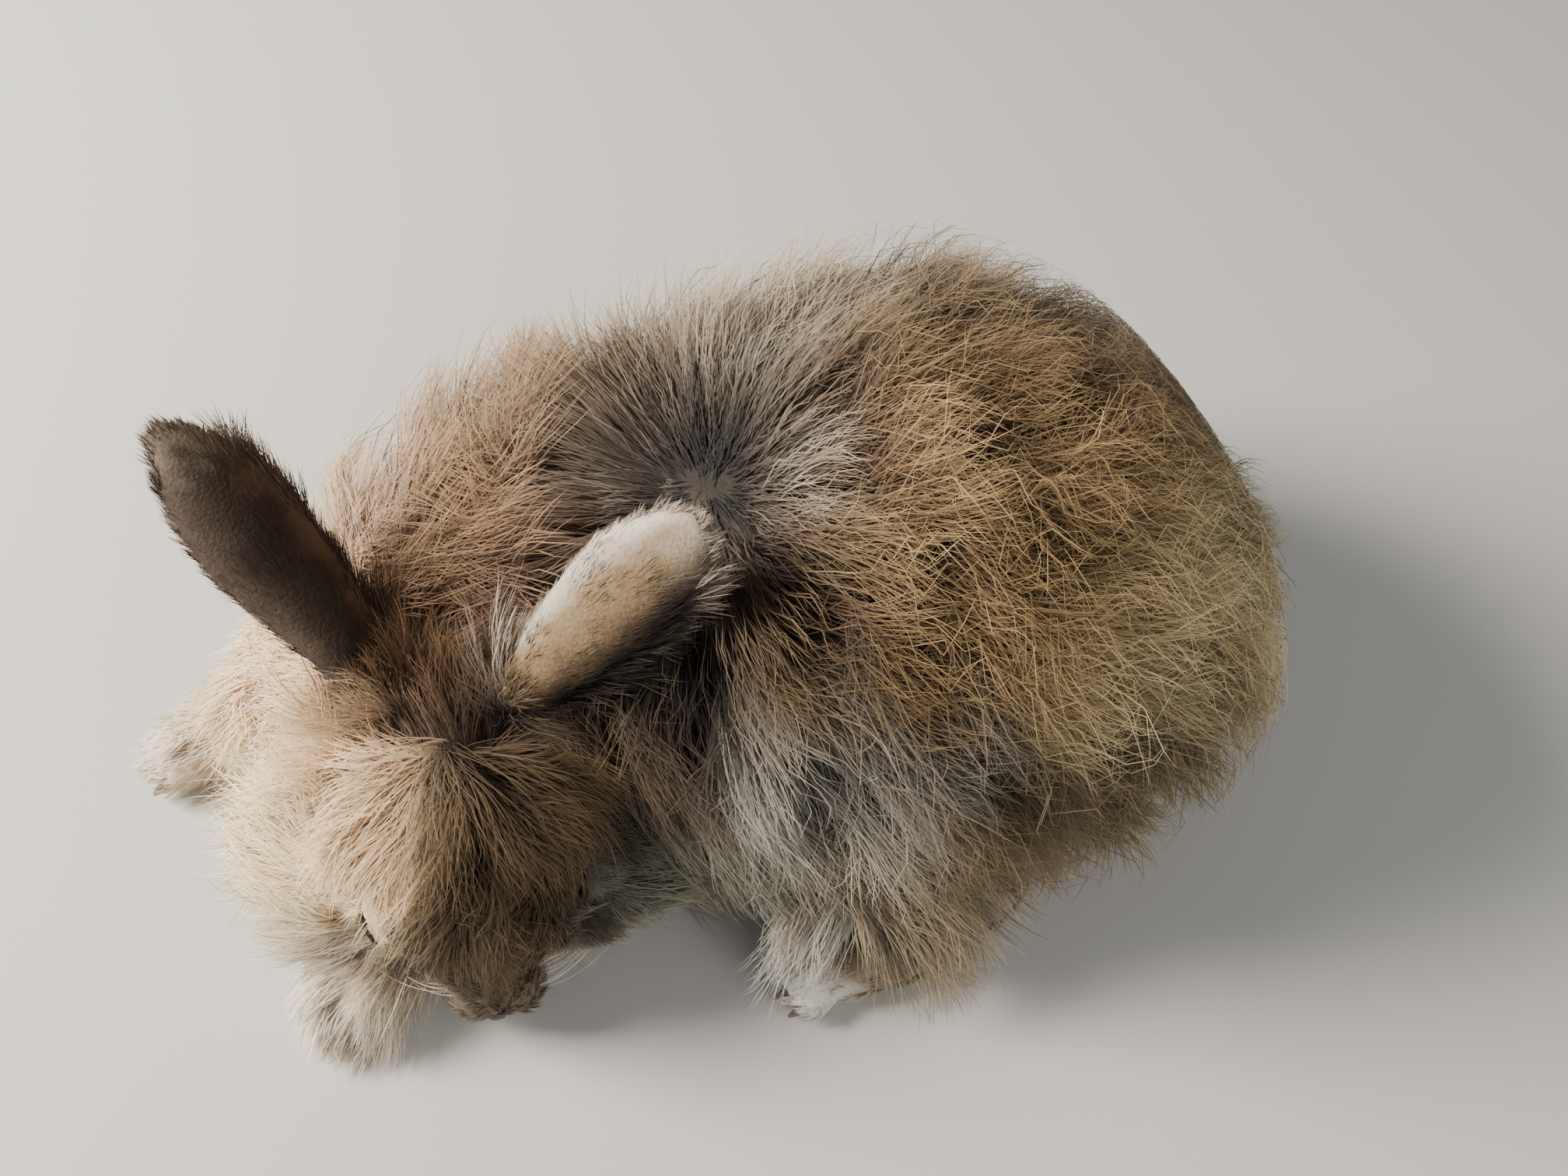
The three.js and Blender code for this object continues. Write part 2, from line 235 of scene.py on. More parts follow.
def ring_surface(rings, first, last):
    """A closed surface over rings [ring, side, xyz] between two poles: two triangles to each cell."""
    count, sides = rings.shape[:2]
    ring, side = np.meshgrid(np.arange(count - 1), np.arange(sides), indexing="ij")
    after = (side + 1) % sides
    a, b = 1 + ring * sides + side, 1 + ring * sides + after
    wall = np.stack([a, a + sides, b, b, a + sides, b + sides], -1).reshape(-1, 3)
    side = np.arange(sides)
    after = (side + 1) % sides
    end = 1 + count * sides
    caps = [np.stack([0 * side, 1 + side, 1 + after], -1),
            np.stack([0 * side + end, end - sides + after, end - sides + side], -1)]
    return np.concatenate([[first], rings.reshape(-1, 3), [last]]), np.concatenate([wall, *caps])


def bar(path, stations, sides=28, rings=30, blunt=2.4, up=(0, 0, 1)):
    """A rounded bar along a path: point + w cos(a) across + h sin(a) up, with w and h from the stations."""
    share = eased(rings)
    point, ahead, wide, high = follow(path, share, up)
    size = between(stations, share) * fullness(share, blunt)[:, None]
    angle = np.linspace(0, 2 * np.pi, sides, endpoint=False)[:, None]
    made = (point[:, None] + size[:, 0, None, None] * np.cos(angle) * wide[:, None]
            + size[:, 1, None, None] * np.sin(angle) * high[:, None])
    ends = follow(path, [0, 1], up)[0]
    return ring_surface(made, ends[0], ends[1])


def lump(place, half, axes=np.eye(3)):
    """An egg-shaped lump: place + axes times (a cos u sin v, b sin u sin v, c cos v)."""
    u = np.linspace(0, 2 * np.pi, 32, endpoint=False)
    v = np.linspace(0, np.pi, 20)[1:-1, None]
    ball = np.stack([np.cos(u) * np.sin(v), np.sin(u) * np.sin(v), np.cos(v) + 0 * u], -1) * half
    pole = np.array([0, 0, half[2]])
    return ring_surface(place + ball @ axes.T, place + axes @ pole, place - axes @ pole)


def trunk_skin():
    """The trunk inside its wool: a leaning superellipse at each place along the body."""
    share = eased(50)
    y = SKIN_START + (SKIN_END - SKIN_START) * share
    middle, half_width, top, lean = between(TRUNK, y).T
    full = fullness(share, END_ROUNDNESS)
    depth = np.minimum(WOOL_DEPTH, 0.36 * half_width)
    half_height = (top - depth - BELLY_DEPTH) / 2
    angle = np.linspace(0, 2 * np.pi, 48, endpoint=False)
    shape = (np.abs(np.cos(angle)) ** ROUNDNESS + np.abs(np.sin(angle)) ** ROUNDNESS) ** (-1 / ROUNDNESS)
    x = (middle[:, None] + (lean * full)[:, None] * np.sin(angle) * 0.7
         + ((half_width - depth) * full)[:, None] * np.cos(angle) * shape)
    z = (BELLY_DEPTH + half_height)[:, None] + (half_height * full)[:, None] * np.sin(angle) * shape
    rings = np.stack([x, np.repeat(y[:, None], 48, 1), z], -1)
    return ring_surface(rings, rings[0].mean(0), rings[-1].mean(0))


def ear_frame(side, share):
    """Point on an ear's middle line, the way ahead, out of the scoop and across, half arc and curl."""
    path, opening = EARS[side]
    point, ahead = follow(path, share)[:2]
    out = unit(np.asarray(opening) - dot(ahead, np.asarray(opening)) * ahead)
    across = np.cross(ahead, out)
    half_arc, curl = between(EAR_STATIONS, share).T
    return point, ahead, out, across, half_arc * fullness(share, 4.5), curl


def ear_skin(side, wall=3.0, inset=1.4):
    """A leaf curled like a scoop: point + (r - d cos a) out + d sin a across, d = r +- half the wall."""
    share = eased(40) * 0.985  # a little short of the tip of the wool
    point, _, out, across, half_arc, curl = ear_frame(side, share)
    half_arc = np.maximum(half_arc - inset, 1.5)
    radius = half_arc / curl
    spread = np.linspace(-1, 1, 25)
    rim = np.sqrt(1 - 0.75 * spread**2)
    faces = []
    for face, shares in ((1, spread), (-1, spread[::-1])):
        angle = curl[:, None] * shares
        depth = radius[:, None] + face * wall / 2 * rim
        faces.append(point[:, None] + (radius[:, None] - depth * np.cos(angle))[..., None] * out[:, None]
                     + (depth * np.sin(angle))[..., None] * across[:, None])
    rings = np.concatenate(faces, 1)
    return ring_surface(rings, rings[0].mean(0), rings[-1].mean(0))


SKIN_PARTS = [
    trunk_skin(),
    bar([[-44, -98, 50], [-12, -112, 56], [20, -116, 56]], [[0, 24, 22], [0.5, 24, 20], [1, 24, 20]]),
    bar(on_head([[-36, 0, -2], [0, 0, 1], [30, 0, -4], [59, 0, -14]]),
        [[0, 22, 22], [0.35, 27, 22], [0.62, 26, 19], [0.82, 17, 15], [1, 13, 12]], up=HEAD_AXES[:, 2]),
    ear_skin(LEFT),
    ear_skin(RIGHT),
    bar(TAIL, [[0, 8, 6], [0.5, 10, 6], [1, 8, 5]], up=(0, -1, 0)),
]
for side in (LEFT, RIGHT):
    SKIN_PARTS += [
        lump(on_head(CHEEKS[side][0]), CHEEKS[side][1], HEAD_AXES),
        lump(on_head([50, 6.8 * side, -17.5]), (10.5, 7.4, 7.2), HEAD_AXES),  # whisker pad
        lump(on_head([24, 21 * side, 7]), (13, 8, 9), HEAD_AXES),  # brow
        lump(np.array([50.0 * side, 46, 44]), (28, 46, 36)),  # haunch
        lump(np.array([74.0 * side, 2, 26]), (17, 28, 18)),  # knee
        bar(HIND_FEET[side], [[0, 9, 9], [0.5, 11, 8], [1, 13, 7.5]]),
        bar(FORELEGS[side], [[0, 16, 16], [0.5, 12, 11], [1, 12, 10]]),
        bar(FOREPAWS[side], [[0, 11, 8], [0.5, 13, 8], [1, 12, 7]]),
    ]
    # Four toes side by side at the front of each foot.
    for path, reach in ((FOREPAWS[side], 5.5), (HIND_FEET[side], 6.2)):
        tip, heading = np.array(path[2], float), unit(np.array(path[2], float) - path[1])
        across = unit(np.cross(heading, (0, 0, 1)))
        for place in (-1.5, -0.5, 0.5, 1.5):
            toe = tip + across * 6 * place + heading * (-7 - 1.3 * place**2)
            SKIN_PARTS.append(lump(toe + (0, 0, -1), (reach, reach, 4.6)))
SKIN_PARTS.append(lump(on_head([41, 0, -22]), (13, 8, 6), HEAD_AXES))  # chin


def triangle_mesh(name, corners, triangles):
    """A mesh of smooth triangles from corners in millimetres."""
    mesh = bpy.data.meshes.new(name)
    mesh.vertices.add(len(corners))
    mesh.vertices.foreach_set("co", (corners * MM).astype(np.float32).ravel())
    mesh.loops.add(triangles.size)
    mesh.loops.foreach_set("vertex_index", triangles.astype(np.int32).ravel())
    mesh.polygons.add(len(triangles))
    mesh.polygons.foreach_set("loop_start", np.arange(0, triangles.size, 3, dtype=np.int32))
    mesh.polygons.foreach_set("use_smooth", np.ones(len(triangles), bool))
    mesh.update(calc_edges=True)
    return mesh


def new_piece(name, corners, triangles, slot, replaced=(), mesh=None):
    """A piece of the model at the origin that rides the one body."""
    piece = bpy.data.objects.new(name, mesh or triangle_mesh(name, corners, triangles))
    bpy.context.scene.collection.objects.link(piece)
    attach(piece, "root")
    if replaced:
        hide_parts(*replaced)
    return piece


def joined(surfaces):
    """Several (corners, triangles) as one."""
    starts = np.cumsum([0] + [len(corners) for corners, _ in surfaces[:-1]])
    return (np.concatenate([corners for corners, _ in surfaces]),
            np.concatenate([triangles + start for (_, triangles), start in zip(surfaces, starts)]))


def one_skin(surfaces, voxel):
    """Melts overlapping closed surfaces into one mesh on a grid of voxels, in millimetres."""
    rough = bpy.data.objects.new("rough", triangle_mesh("rough", *joined(surfaces)))
    bpy.context.scene.collection.objects.link(rough)
    melt = rough.modifiers.new("melt", "REMESH")
    melt.mode = "VOXEL"
    melt.voxel_size = voxel * MM
    mesh = bpy.data.meshes.new_from_object(rough.evaluated_get(bpy.context.evaluated_depsgraph_get()))
    bpy.data.objects.remove(rough)
    mesh.name = "skin"
    return mesh


def read(collection, name, width, kind=np.float32):
    """One property of all items of a Blender collection, in rows of width values."""
    values = np.empty(len(collection) * width, kind)
    collection.foreach_get(name, values)
    return values.reshape(-1, width) if width > 1 else values


def relaxed(corners, edges, rounds, amount):
    """Moves each corner towards the mean of its neighbours, by an amount given per corner."""
    count = len(corners)
    ends, others = np.r_[edges[:, 0], edges[:, 1]], np.r_[edges[:, 1], edges[:, 0]]
    degree = np.maximum(np.bincount(ends, minlength=count), 1)[:, None]
    for _ in range(rounds):
        mean = np.stack([np.bincount(ends, corners[others, k], count) for k in range(3)], -1) / degree
        corners = corners + (mean - corners) * amount
    return corners


# Regions of the skin, told apart by the nearest line of bone

REGIONS = ["trunk", "head", "ear_left", "ear_right", "foreleg_left", "foreleg_right", "paw_left", "paw_right",
           "hind_left", "hind_right", "thigh_left", "thigh_right", "tail"]
EAR_REGIONS = ("ear_left", "ear_right")
FOOT_REGIONS = ("paw_left", "paw_right", "hind_left", "hind_right")
THIGH_REGIONS = ("thigh_left", "thigh_right")


def bone_points():
    """Rows of (region, x, y, z, radius) along each part's middle line."""
    rows = []

    def line(region, path, radii):
        points = follow(path, np.linspace(0, 1, 16))[0]
        wide = np.interp(np.linspace(0, 1, 16), np.linspace(0, 1, len(radii)), radii)
        rows.append(np.c_[np.full(16, REGIONS.index(region)), points, wide])

    line("trunk", [[-44, -150, 40], [-20, -60, 58], [0, 20, 70], [4, 110, 56]], [24, 46, 64, 52])
    line("trunk", [[-44, -98, 50], [-12, -112, 52]], [22, 20])
    line("head", on_head([[-30, 0, -2], [10, 0, 0], [54, 0, -14]]), [22, 28, 14])
    line("tail", TAIL, [5, 9, 8])
    for side in (LEFT, RIGHT):
        place = np.array(CHEEKS[side][0], float)
        line("head", on_head([place - (8, 0, 0), place, place + (8, 0, 0)]), [16, 17, 16])
    for side in (LEFT, RIGHT):
        name = SIDE_NAME[side]
        line("ear_" + name, EARS[side][0][1:], [13, 16, 12])
        line("foreleg_" + name, FORELEGS[side], [10, 11, 9])
        line("paw_" + name, FOREPAWS[side], [9, 10, 9])
        line("hind_" + name, HIND_FEET[side], [8, 9, 10])
        line("thigh_" + name, [[54 * side, 76, 40], [58 * side, 40, 40], [76 * side, 0, 26]], [26, 32, 17])
    return np.concatenate(rows)


BONES = bone_points()


def part_of(owner, *names):
    """The share of each point that belongs to the named regions together."""
    return owner[:, [REGIONS.index(name) for name in names]].sum(1)


def region_weights(points, softness=3.0):
    """How much each region owns each point: exp(-distance / softness), as shares of their sum."""
    nearest = np.empty((len(points), len(REGIONS)), np.float32)
    for k in range(len(REGIONS)):
        bones = BONES[BONES[:, 0] == k]
        apart = np.linalg.norm(points[:, None] - bones[None, :, 1:4], axis=-1) - bones[:, 4]
        nearest[:, k] = apart.min(1)
    weight = np.exp(-(nearest - nearest.min(1, keepdims=True)) / softness)
    return weight / weight.sum(1, keepdims=True)


def ear_place(points, side):
    """Where points lie on an ear: share of its length, share across from rim to rim, inner face or not."""
    shares = np.linspace(0, 1, 60)
    point, ahead, out, across, half_arc, curl = ear_frame(side, shares)
    near = np.argmin(np.linalg.norm(points[:, None] - point[None], axis=-1), 1)
    radius = (half_arc / curl)[near]
    apart = points - point[near] - out[near] * radius[:, None]
    angle = np.arctan2(dot(apart, across[near])[:, 0], -dot(apart, out[near])[:, 0])
    inside = np.linalg.norm(apart - dot(apart, ahead[near]) * ahead[near], axis=-1) < radius
    return shares[near], np.clip(angle / np.maximum(curl[near], 0.1), -EAR_EDGE, EAR_EDGE), inside


# Markings, painted light and painted shade: what colour the coat has where, from root to tip

# Each marking: place on the outer coat, its reach, then tip, middle and root colour.
MARKINGS_LIGHT_AND_SHADE = [
    ((31, 28, 158), 34, "d8b682", "76583a", "352d27"),  # golden curls on the back
    ((57, 49, 150), 26, "987a50", "483722", "28221c"),  # brown behind them
    ((56, -8, 124), 22, "7d613c", "40301e", "241e18"),  # brown flank
    ((0, 60, 160), 34, "ac8b60", "5c4730", "332d28"),  # loin
    ((-40, 60, 148), 30, "a08a70", "63523f", "403b37"),  # dark far side of the loin
    ((83, 83, 116), 26, "dfc999", "a58e64", "6d6046"),  # golden edge of the rump, made paler partly by painted light
    ((52, 137, 60), 30, "d3bf95", "a39068", "6f6248"),  # rump
    ((-50, 100, 110), 34, "ab9677", "75654c", "49443d"),  # far rump
    ((-63, 12, 149), 26, "dccdb6", "b5a48c", "6f665e"),  # pale wisps along the far side
    ((-90, 20, 90), 36, "c6b49a", "99876d", "625a52"),
    ((-61, -60, 127), 26, "b59673", "866c50", "54493c"),  # far shoulder
    ((-12, -28, 138), 10, "241f1b", "171412", "100e0d"),  # the whorl, open to the slate underfur
    ((-24, -40, 142), 13, "5a4c40", "3a312a", "1f1b18"),
    ((-36, -24, 147), 12, "8d7f72", "60554c", "2e2926"),
    ((-48, -30, 143), 13, "b3a190", "85766a", "453e3a"),
    ((4, -8, 152), 15, "f0e2cf", "d0bfaa", "776c62"),  # pale fan of the parting
    ((-30, -94, 106), 24, "b58b62", "7e5c3e", "4e3a2b"),  # apricot shoulder
    # Painted shade: this row and the next darken the hollow behind the head and the front of the flank below
    # it, in the head's shadow.
    ((42, -54, 94), 15, "4a3b2c", "2b2219", "18130f"),  # painted shade in the hollow behind the head
    ((60, -66, 72), 16, "57493a", "362c22", "1e1914"),
    ((0, -75, 110), 20, "ad8a69", "785c44", "473b33"),
    ((0, -97, 104), 17, "6b4d33", "432e1e", "261b13"),  # painted shade on the wool between the ears
    ((-60, -120, 80), 26, "dabc9c", "bf9d7d", "8a725d"),
    ((-42, -180, 40), 26, "ffe6c4", "f3d4aa", "d4b48f"),  # cream chest
    ((77, -16, 100), 15, "958f82", "766f64", "56524b"),  # pale lower flank, darkened by painted shade, as is the next row
    ((86, -27, 76), 16, "b3ada0", "938d82", "6f6b63"),
    ((91, 14, 110), 9, "726f68", "403e3b", "2a2928"),  # small dark patch
    ((100, 30, 70), 20, "8a7554", "574933", "352e25"),
    ((90, 80, 78), 22, "85744f", "544731", "322b1e"),
    ((99, -8, 40), 15, "beaa89", "9a866a", "70665a"),  # tan hock
    ((36, -150, 82), 17, "fadcb4", "e6c59b", "b29370"),  # painted light: the lit side of the cap made paler, as is the next row
    ((30, -140, 88), 10, "e0c8a8", "bfa483", "8b735a"),
    # Painted shade: the next three rows darken the cap's shaded side, over brown patches of its own.
    ((52, -115, 82), 14, "856b4b", "59452f", "382c1f"),
    ((56, -98, 82), 10, "5f4c36", "3b2e20", "261d15"),  # dark patch of the cap, partly painted shade
    ((56, -80, 78), 14, "947953", "655138", "403325"),
    ((76, -117, 46), 15, "7f6a4e", "5c4b37", "3c3124"),  # ridge of the muzzle
    ((80, -123, 22), 11, "8b7866", "736352", "584b3e"),  # round the nose
    ((67, -121, 12), 9, "cdbfa8", "b5a68f", "8d8070"),  # pale lips and chin
    ((70, -92, 44), 8, "5d4c3a", "3c3024", "2a2119"),  # painted shade in the hollows in front of the eyes, as in the next row
    ((66, -146, 42), 8, "6b5a4a", "4b4035", "342c25"),
    ((72, -64, 34), 18, "a8a28f", "868071", "5d584e"),  # left cheek, greyed and darkened by painted shade
    ((80, -78, 12), 11, "f0ece0", "dcd7c8", "aea898"),
    ((36, -178, 48), 22, "ffedcb", "fbe3bd", "dcc19c"),  # right cheek
    ((44, -178, 22), 16, "f3ebde", "e8dac8", "cbbfad"),
    ((95, -44, 8), 12, "efebe2", "e4dfd3", "cfc8ba"),  # white toes
    ((-95, -44, 8), 12, "efebe2", "e4dfd3", "cfc8ba"),
    ((-44, -216, 8), 14, "f5ece0", "ecdfcc", "d8c8b2"),
    ((66, -170, 8), 10, "f0e6d6", "e6dac6", "cfc1ac"),
    ((0, 0, 6), 46, "cfc2ad", "b8aa95", "9a8d7b"),  # belly
    ((0, 160, 56), 20, "b7a484", "8c7a5c", "62563f"),  # tail
]
WHORL_TONES = np.array([srgb("8d7e71"), srgb("2c2520"), srgb("0b0a09")])  # hair that leaves the whorl
MARK_PLACE = np.array([row[0] for row in MARKINGS_LIGHT_AND_SHADE], float)
MARK_REACH = np.array([row[1] for row in MARKINGS_LIGHT_AND_SHADE], float)
MARK_TONES = np.array([[srgb(code) for code in row[2:]] for row in MARKINGS_LIGHT_AND_SHADE])  # marking, tone, rgb


def body_tones(points):
    """Tip, middle and root colour at points: a mean of the table's rows, coat marks and painted light and
    shade, each weighed by exp(-d^2 / reach^2).
    """
    wobble = np.stack([drift(points, 22, seed) for seed in (31, 32, 33)], -1) * 4
    apart = ((points + wobble)[:, None] - MARK_PLACE[None]) / MARK_REACH[:, None]
    weight = np.exp(-np.minimum((apart**2).sum(-1), 60)) + 1e-12 / (1e-6 + (apart**2).sum(-1))
    weight /= weight.sum(1, keepdims=True)
    return np.einsum("nm,mtc->ntc", weight, MARK_TONES)


MOUTH = [[60, 0, -16], [58, 0, -22], [54, 5, -24.5], [46, 9, -25.5], [38, 13, -24]]


def mouth_gap(local):
    """Distance on the head's axes from the line of the mouth: from the nose down, then along both sides."""
    gap = np.full(len(local), 99.0)
    close = local[:, 0] > 30
    line = follow(MOUTH, np.linspace(0, 1, 40))[0]
    gap[close] = np.linalg.norm(mirrored(local[close])[:, None] - line, axis=-1).min(1)
    return gap


EAR_TONES = {  # one rim, middle and other rim of the back, then the tip, the base and the inner face
    # The right ear's grey-tan tip is partly a painted sheen on its lit face.
    RIGHT: ["6a4e3a", "33261b", "54453a", "83735f", "9c7a54", "b39485"],
    LEFT: ["33291f", "8d7558", "d8cdc0", "a89a88", "9c8468", "bda294"],
}


def ear_tones(points, side):
    """Tones of an ear by its own length and width, with soft edges between them."""
    share, across, inside = ear_place(points, side)
    first, middle, last, tip, base, inner = [srgb(code) for code in EAR_TONES[side]]
    a = across + 0.08 * drift(points, 12, 51)
    weight = np.stack([ramp(-a, 0.1, 0.8), 1 - ramp(np.abs(a), 0.1, 0.8), ramp(a, 0.1, 0.8)], -1)
    tone = weight @ np.stack([first, middle, last])
    end = ramp(share + 0.04 * drift(points, 8, 52), 0.82, 1.0)[:, None]
    start = 1 - ramp(share + 0.05 * drift(points, 10, 53), 0.1, 0.34)[:, None]
    tone = blend(blend(tone, tip, 0.8 * end), base, start)
    tone = np.where(inside[:, None], inner, tone)
    return np.stack([tone * 1.25, tone, tone * 0.75], 1)


def tones_at(points, owner):
    """Tones of the whole coat, with painted shade along the mouth; ears have marks of their own."""
    tones = body_tones(points)
    for side in (LEFT, RIGHT):
        share = part_of(owner, "ear_" + SIDE_NAME[side])[:, None, None]
        tones = blend(tones, ear_tones(points, side), share)
    # Painted shade along the line of the mouth, on the coat of the head.
    painted_shade = 0.6 * part_of(owner, "head") * np.exp(-(mouth_gap(off_head(points)) / 1.9) ** 2)
    return tones * (1 - painted_shade[:, None, None])


# The skin

skin_mesh = one_skin(SKIN_PARTS, SKIN_GRID)
corners = read(skin_mesh.vertices, "co", 3).astype(float) / MM
edges = read(skin_mesh.edges, "vertices", 2, np.int32)
owner = region_weights(corners)
on_face = ramp(off_head(corners)[:, 0], 10, 30) * part_of(owner, "head")
softening = 0.6 * (1 - part_of(owner, *EAR_REGIONS)) * (1 - 0.6 * on_face) + 0.16
corners = relaxed(corners, edges, rounds=14, amount=softening[:, None])


def face_features(corners):
    """Lids, mouth and the furrow of the lip, as moves of the skin of the head."""
    local = off_head(corners)
    # The skin hugs the eye: out to a shell over it, and back behind it where the lids are open.
    apart = mirrored(local) - EYE_PLACE
    away = np.linalg.norm(apart, axis=1)
    facing = unit(apart) @ unit(EYE_WAY)
    shell = EYE_RADIUS + 1.0 - 3.6 * ramp(facing, 0.66, 0.8)
    near = 1 - ramp(away, EYE_RADIUS + 1.5, EYE_RADIUS + 6)
    pull = (shell - away) * near * ramp(facing, 0.1, 0.45)
    side = np.ones_like(local)
    side[:, 1] = np.sign(local[:, 1])
    local = local + unit(apart) * side * pull[:, None]
    depth = 2.2 * np.exp(-(mouth_gap(local) / 1.7) ** 2)
    return on_head(local - unit(local - np.array([30.0, 0, -14])) * depth[:, None])


head_part = part_of(owner, "head") > 0.5
corners[head_part] = face_features(corners[head_part])
corners[:, 2] = np.maximum(corners[:, 2], 0.6)
skin_mesh.vertices.foreach_set("co", (corners * MM).astype(np.float32).ravel())
skin_mesh.polygons.foreach_set("use_smooth", np.ones(len(skin_mesh.polygons), bool))
skin_mesh.update()
flesh = [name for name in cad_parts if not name.startswith(("eye_", "nose", "front_claw", "hind_claw"))]
skin = new_piece("skin", None, None, "coat", flesh, skin_mesh)
normals = read(skin_mesh.vertices, "normal", 3).astype(float)
skin_mesh.calc_loop_triangles()
triangles = read(skin_mesh.loop_triangles, "vertices", 3, np.int32)


# Side of a region's patches in the bake's square, whose own side is 1.
PATCH_SIZES = {"trunk": 0.31, "head": 0.16, "ear": 0.14}
SMALL_PATCH = 0.07
TUFT_PATCH = 0.003  # the same for one tuft
PATCH_ROOM = 22  # millimetres of room round the bones of a region


def unwrap(points, normals, owner):
    """Flat places of points on the skin, by its own shape.

    Each region is seen along the main way its skin faces, one patch to each of the six ways, and
    each ear is opened flat: length by width, inner and outer face apart. Patches share out a square.
    """
    region = owner.argmax(1)
    way = np.abs(normals).argmax(1)
    facing = np.take_along_axis(normals, way[:, None], 1)[:, 0] > 0
    flat = np.zeros((len(points), 2))
    place, height = np.zeros(2), 0.0
    for k, name in enumerate(REGIONS):
        mine = region == k
        size = PATCH_SIZES.get(name.split("_")[0], SMALL_PATCH)
        if name in EAR_REGIONS:
            share, across, inside = ear_place(points[mine], LEFT if name == "ear_left" else RIGHT)
            spots, inner = np.zeros((len(points), 2)), np.zeros(len(points), bool)
            spots[mine] = np.stack([share, (across / EAR_EDGE + 1) / 2], -1)
            inner[mine] = inside
            patches = [(inner, spots), (mine & ~inner, spots)]
        else:
            bones = BONES[BONES[:, 0] == k]
            centre = bones[:, 1:4].mean(0)
            reach = np.abs(bones[:, 1:4] - centre).max() + bones[:, 4].max() + PATCH_ROOM
            spots = np.clip((points - centre) / (2 * reach) + 0.5, 0, 1)
            patches = [(mine & (way == axis) & (facing == towards), np.delete(spots, axis, 1))
                       for axis in range(3) for towards in (False, True)]
        for chosen, spot in patches:
            if place[0] + size > 1:
                place, height = np.array([0.0, place[1] + height]), 0.0
            height = max(height, size)
            flat[chosen] = place + size * (0.03 + 0.94 * spot[chosen])
            place = place + (size, 0.0)
    return flat


# The coat

corner_owner = region_weights(corners)
centres = corners[triangles].mean(1)
face_owner = corner_owner[triangles].mean(1)
face_cross = np.cross(corners[triangles[:, 1]] - corners[triangles[:, 0]],
                      corners[triangles[:, 2]] - corners[triangles[:, 0]])
face_area = np.linalg.norm(face_cross, axis=1) / 2


def scatter(density, count):
    """Roots on the skin: a triangle chosen by area times density, then an even place inside it."""
    chosen = chance.choice(len(triangles), count, p=(face_area * density) / (face_area * density).sum())
    a, b = chance.random((2, count, 1))
    a, b = np.where(a + b > 1, 1 - a, a), np.where(a + b > 1, 1 - b, b)
    corner = triangles[chosen]

    def mix(field):
        return field[corner[:, 0]] * (1 - a - b) + field[corner[:, 1]] * a + field[corner[:, 2]] * b

    return mix(corners), unit(mix(normals)), mix(corner_owner)


def near_whorl(points, reach):
    """1 in the middle of the whorl on the back, falling off as exp(-(distance / reach)^2)."""
    return np.exp(-(((points - WHORL) * (1, 1, 0)) ** 2).sum(-1) / reach**2)


def lock_ridge(points):
    """A field whose high lines are where locks of wool gather, about 15 mm apart."""
    return drift(points, 15, 12, waves=7)


def valley(points):
    """1 in the gaps between locks, 0 on their ridges."""
    return 1 - ramp(lock_ridge(points), -0.9, 0.3)


def along_skin(way, normals):
    """What is left of a way when the part along the normal is taken out."""
    return way - dot(way, normals) * normals


def head_way(points):
    """The way the wool of the head lies.

    It goes out from the crease between the ears, out and down on the cheeks, back from the nose,
    and parts round each eye.
    """
    local = off_head(points)
    side = np.sign(local[:, 1])
    zero = 0 * side
    forward = 2 * ramp(local[:, 0] - 5 * drift(points, 30, 9), -20, -8) - 1
    cap = np.stack([forward, local[:, 1] / 42, zero - 0.15], -1)
    cheek = np.stack([0.1 - 0.35 * (side < 0), side, zero - 0.5], -1)
    muzzle = np.stack([zero - 1, 0.5 * side, zero - 0.1], -1)
    cheeks = (ramp(np.abs(local[:, 1]), 14, 30) * ramp(-local[:, 2], -16, 2))[:, None]
    front = ramp(local[:, 0], 26, 38)[:, None]
    facing = unit(blend(blend(cap, cheek, cheeks), muzzle, front))
    from_eye = local - EYE_PLACE * np.stack([zero + 1, side, zero + 1], -1)
    push = 2.4 * np.exp(-(eye_gap(local) / 21) ** 2)[:, None]
    return (facing + push * unit(from_eye)) @ HEAD_AXES.T


# Which way the wool of the limbs and the tail hangs.
LIMB_WAYS = (
    (("foreleg_left", "paw_left"), (0.8, -0.6, -0.5)),
    (("foreleg_right", "paw_right"), (0, -1, -0.4)),
    (("hind_left", "hind_right"), (0, -1, -0.2)),
    (THIGH_REGIONS, (0, 0.35, -1)),
    (("tail",), (0, 0.6, 0.1)),
)


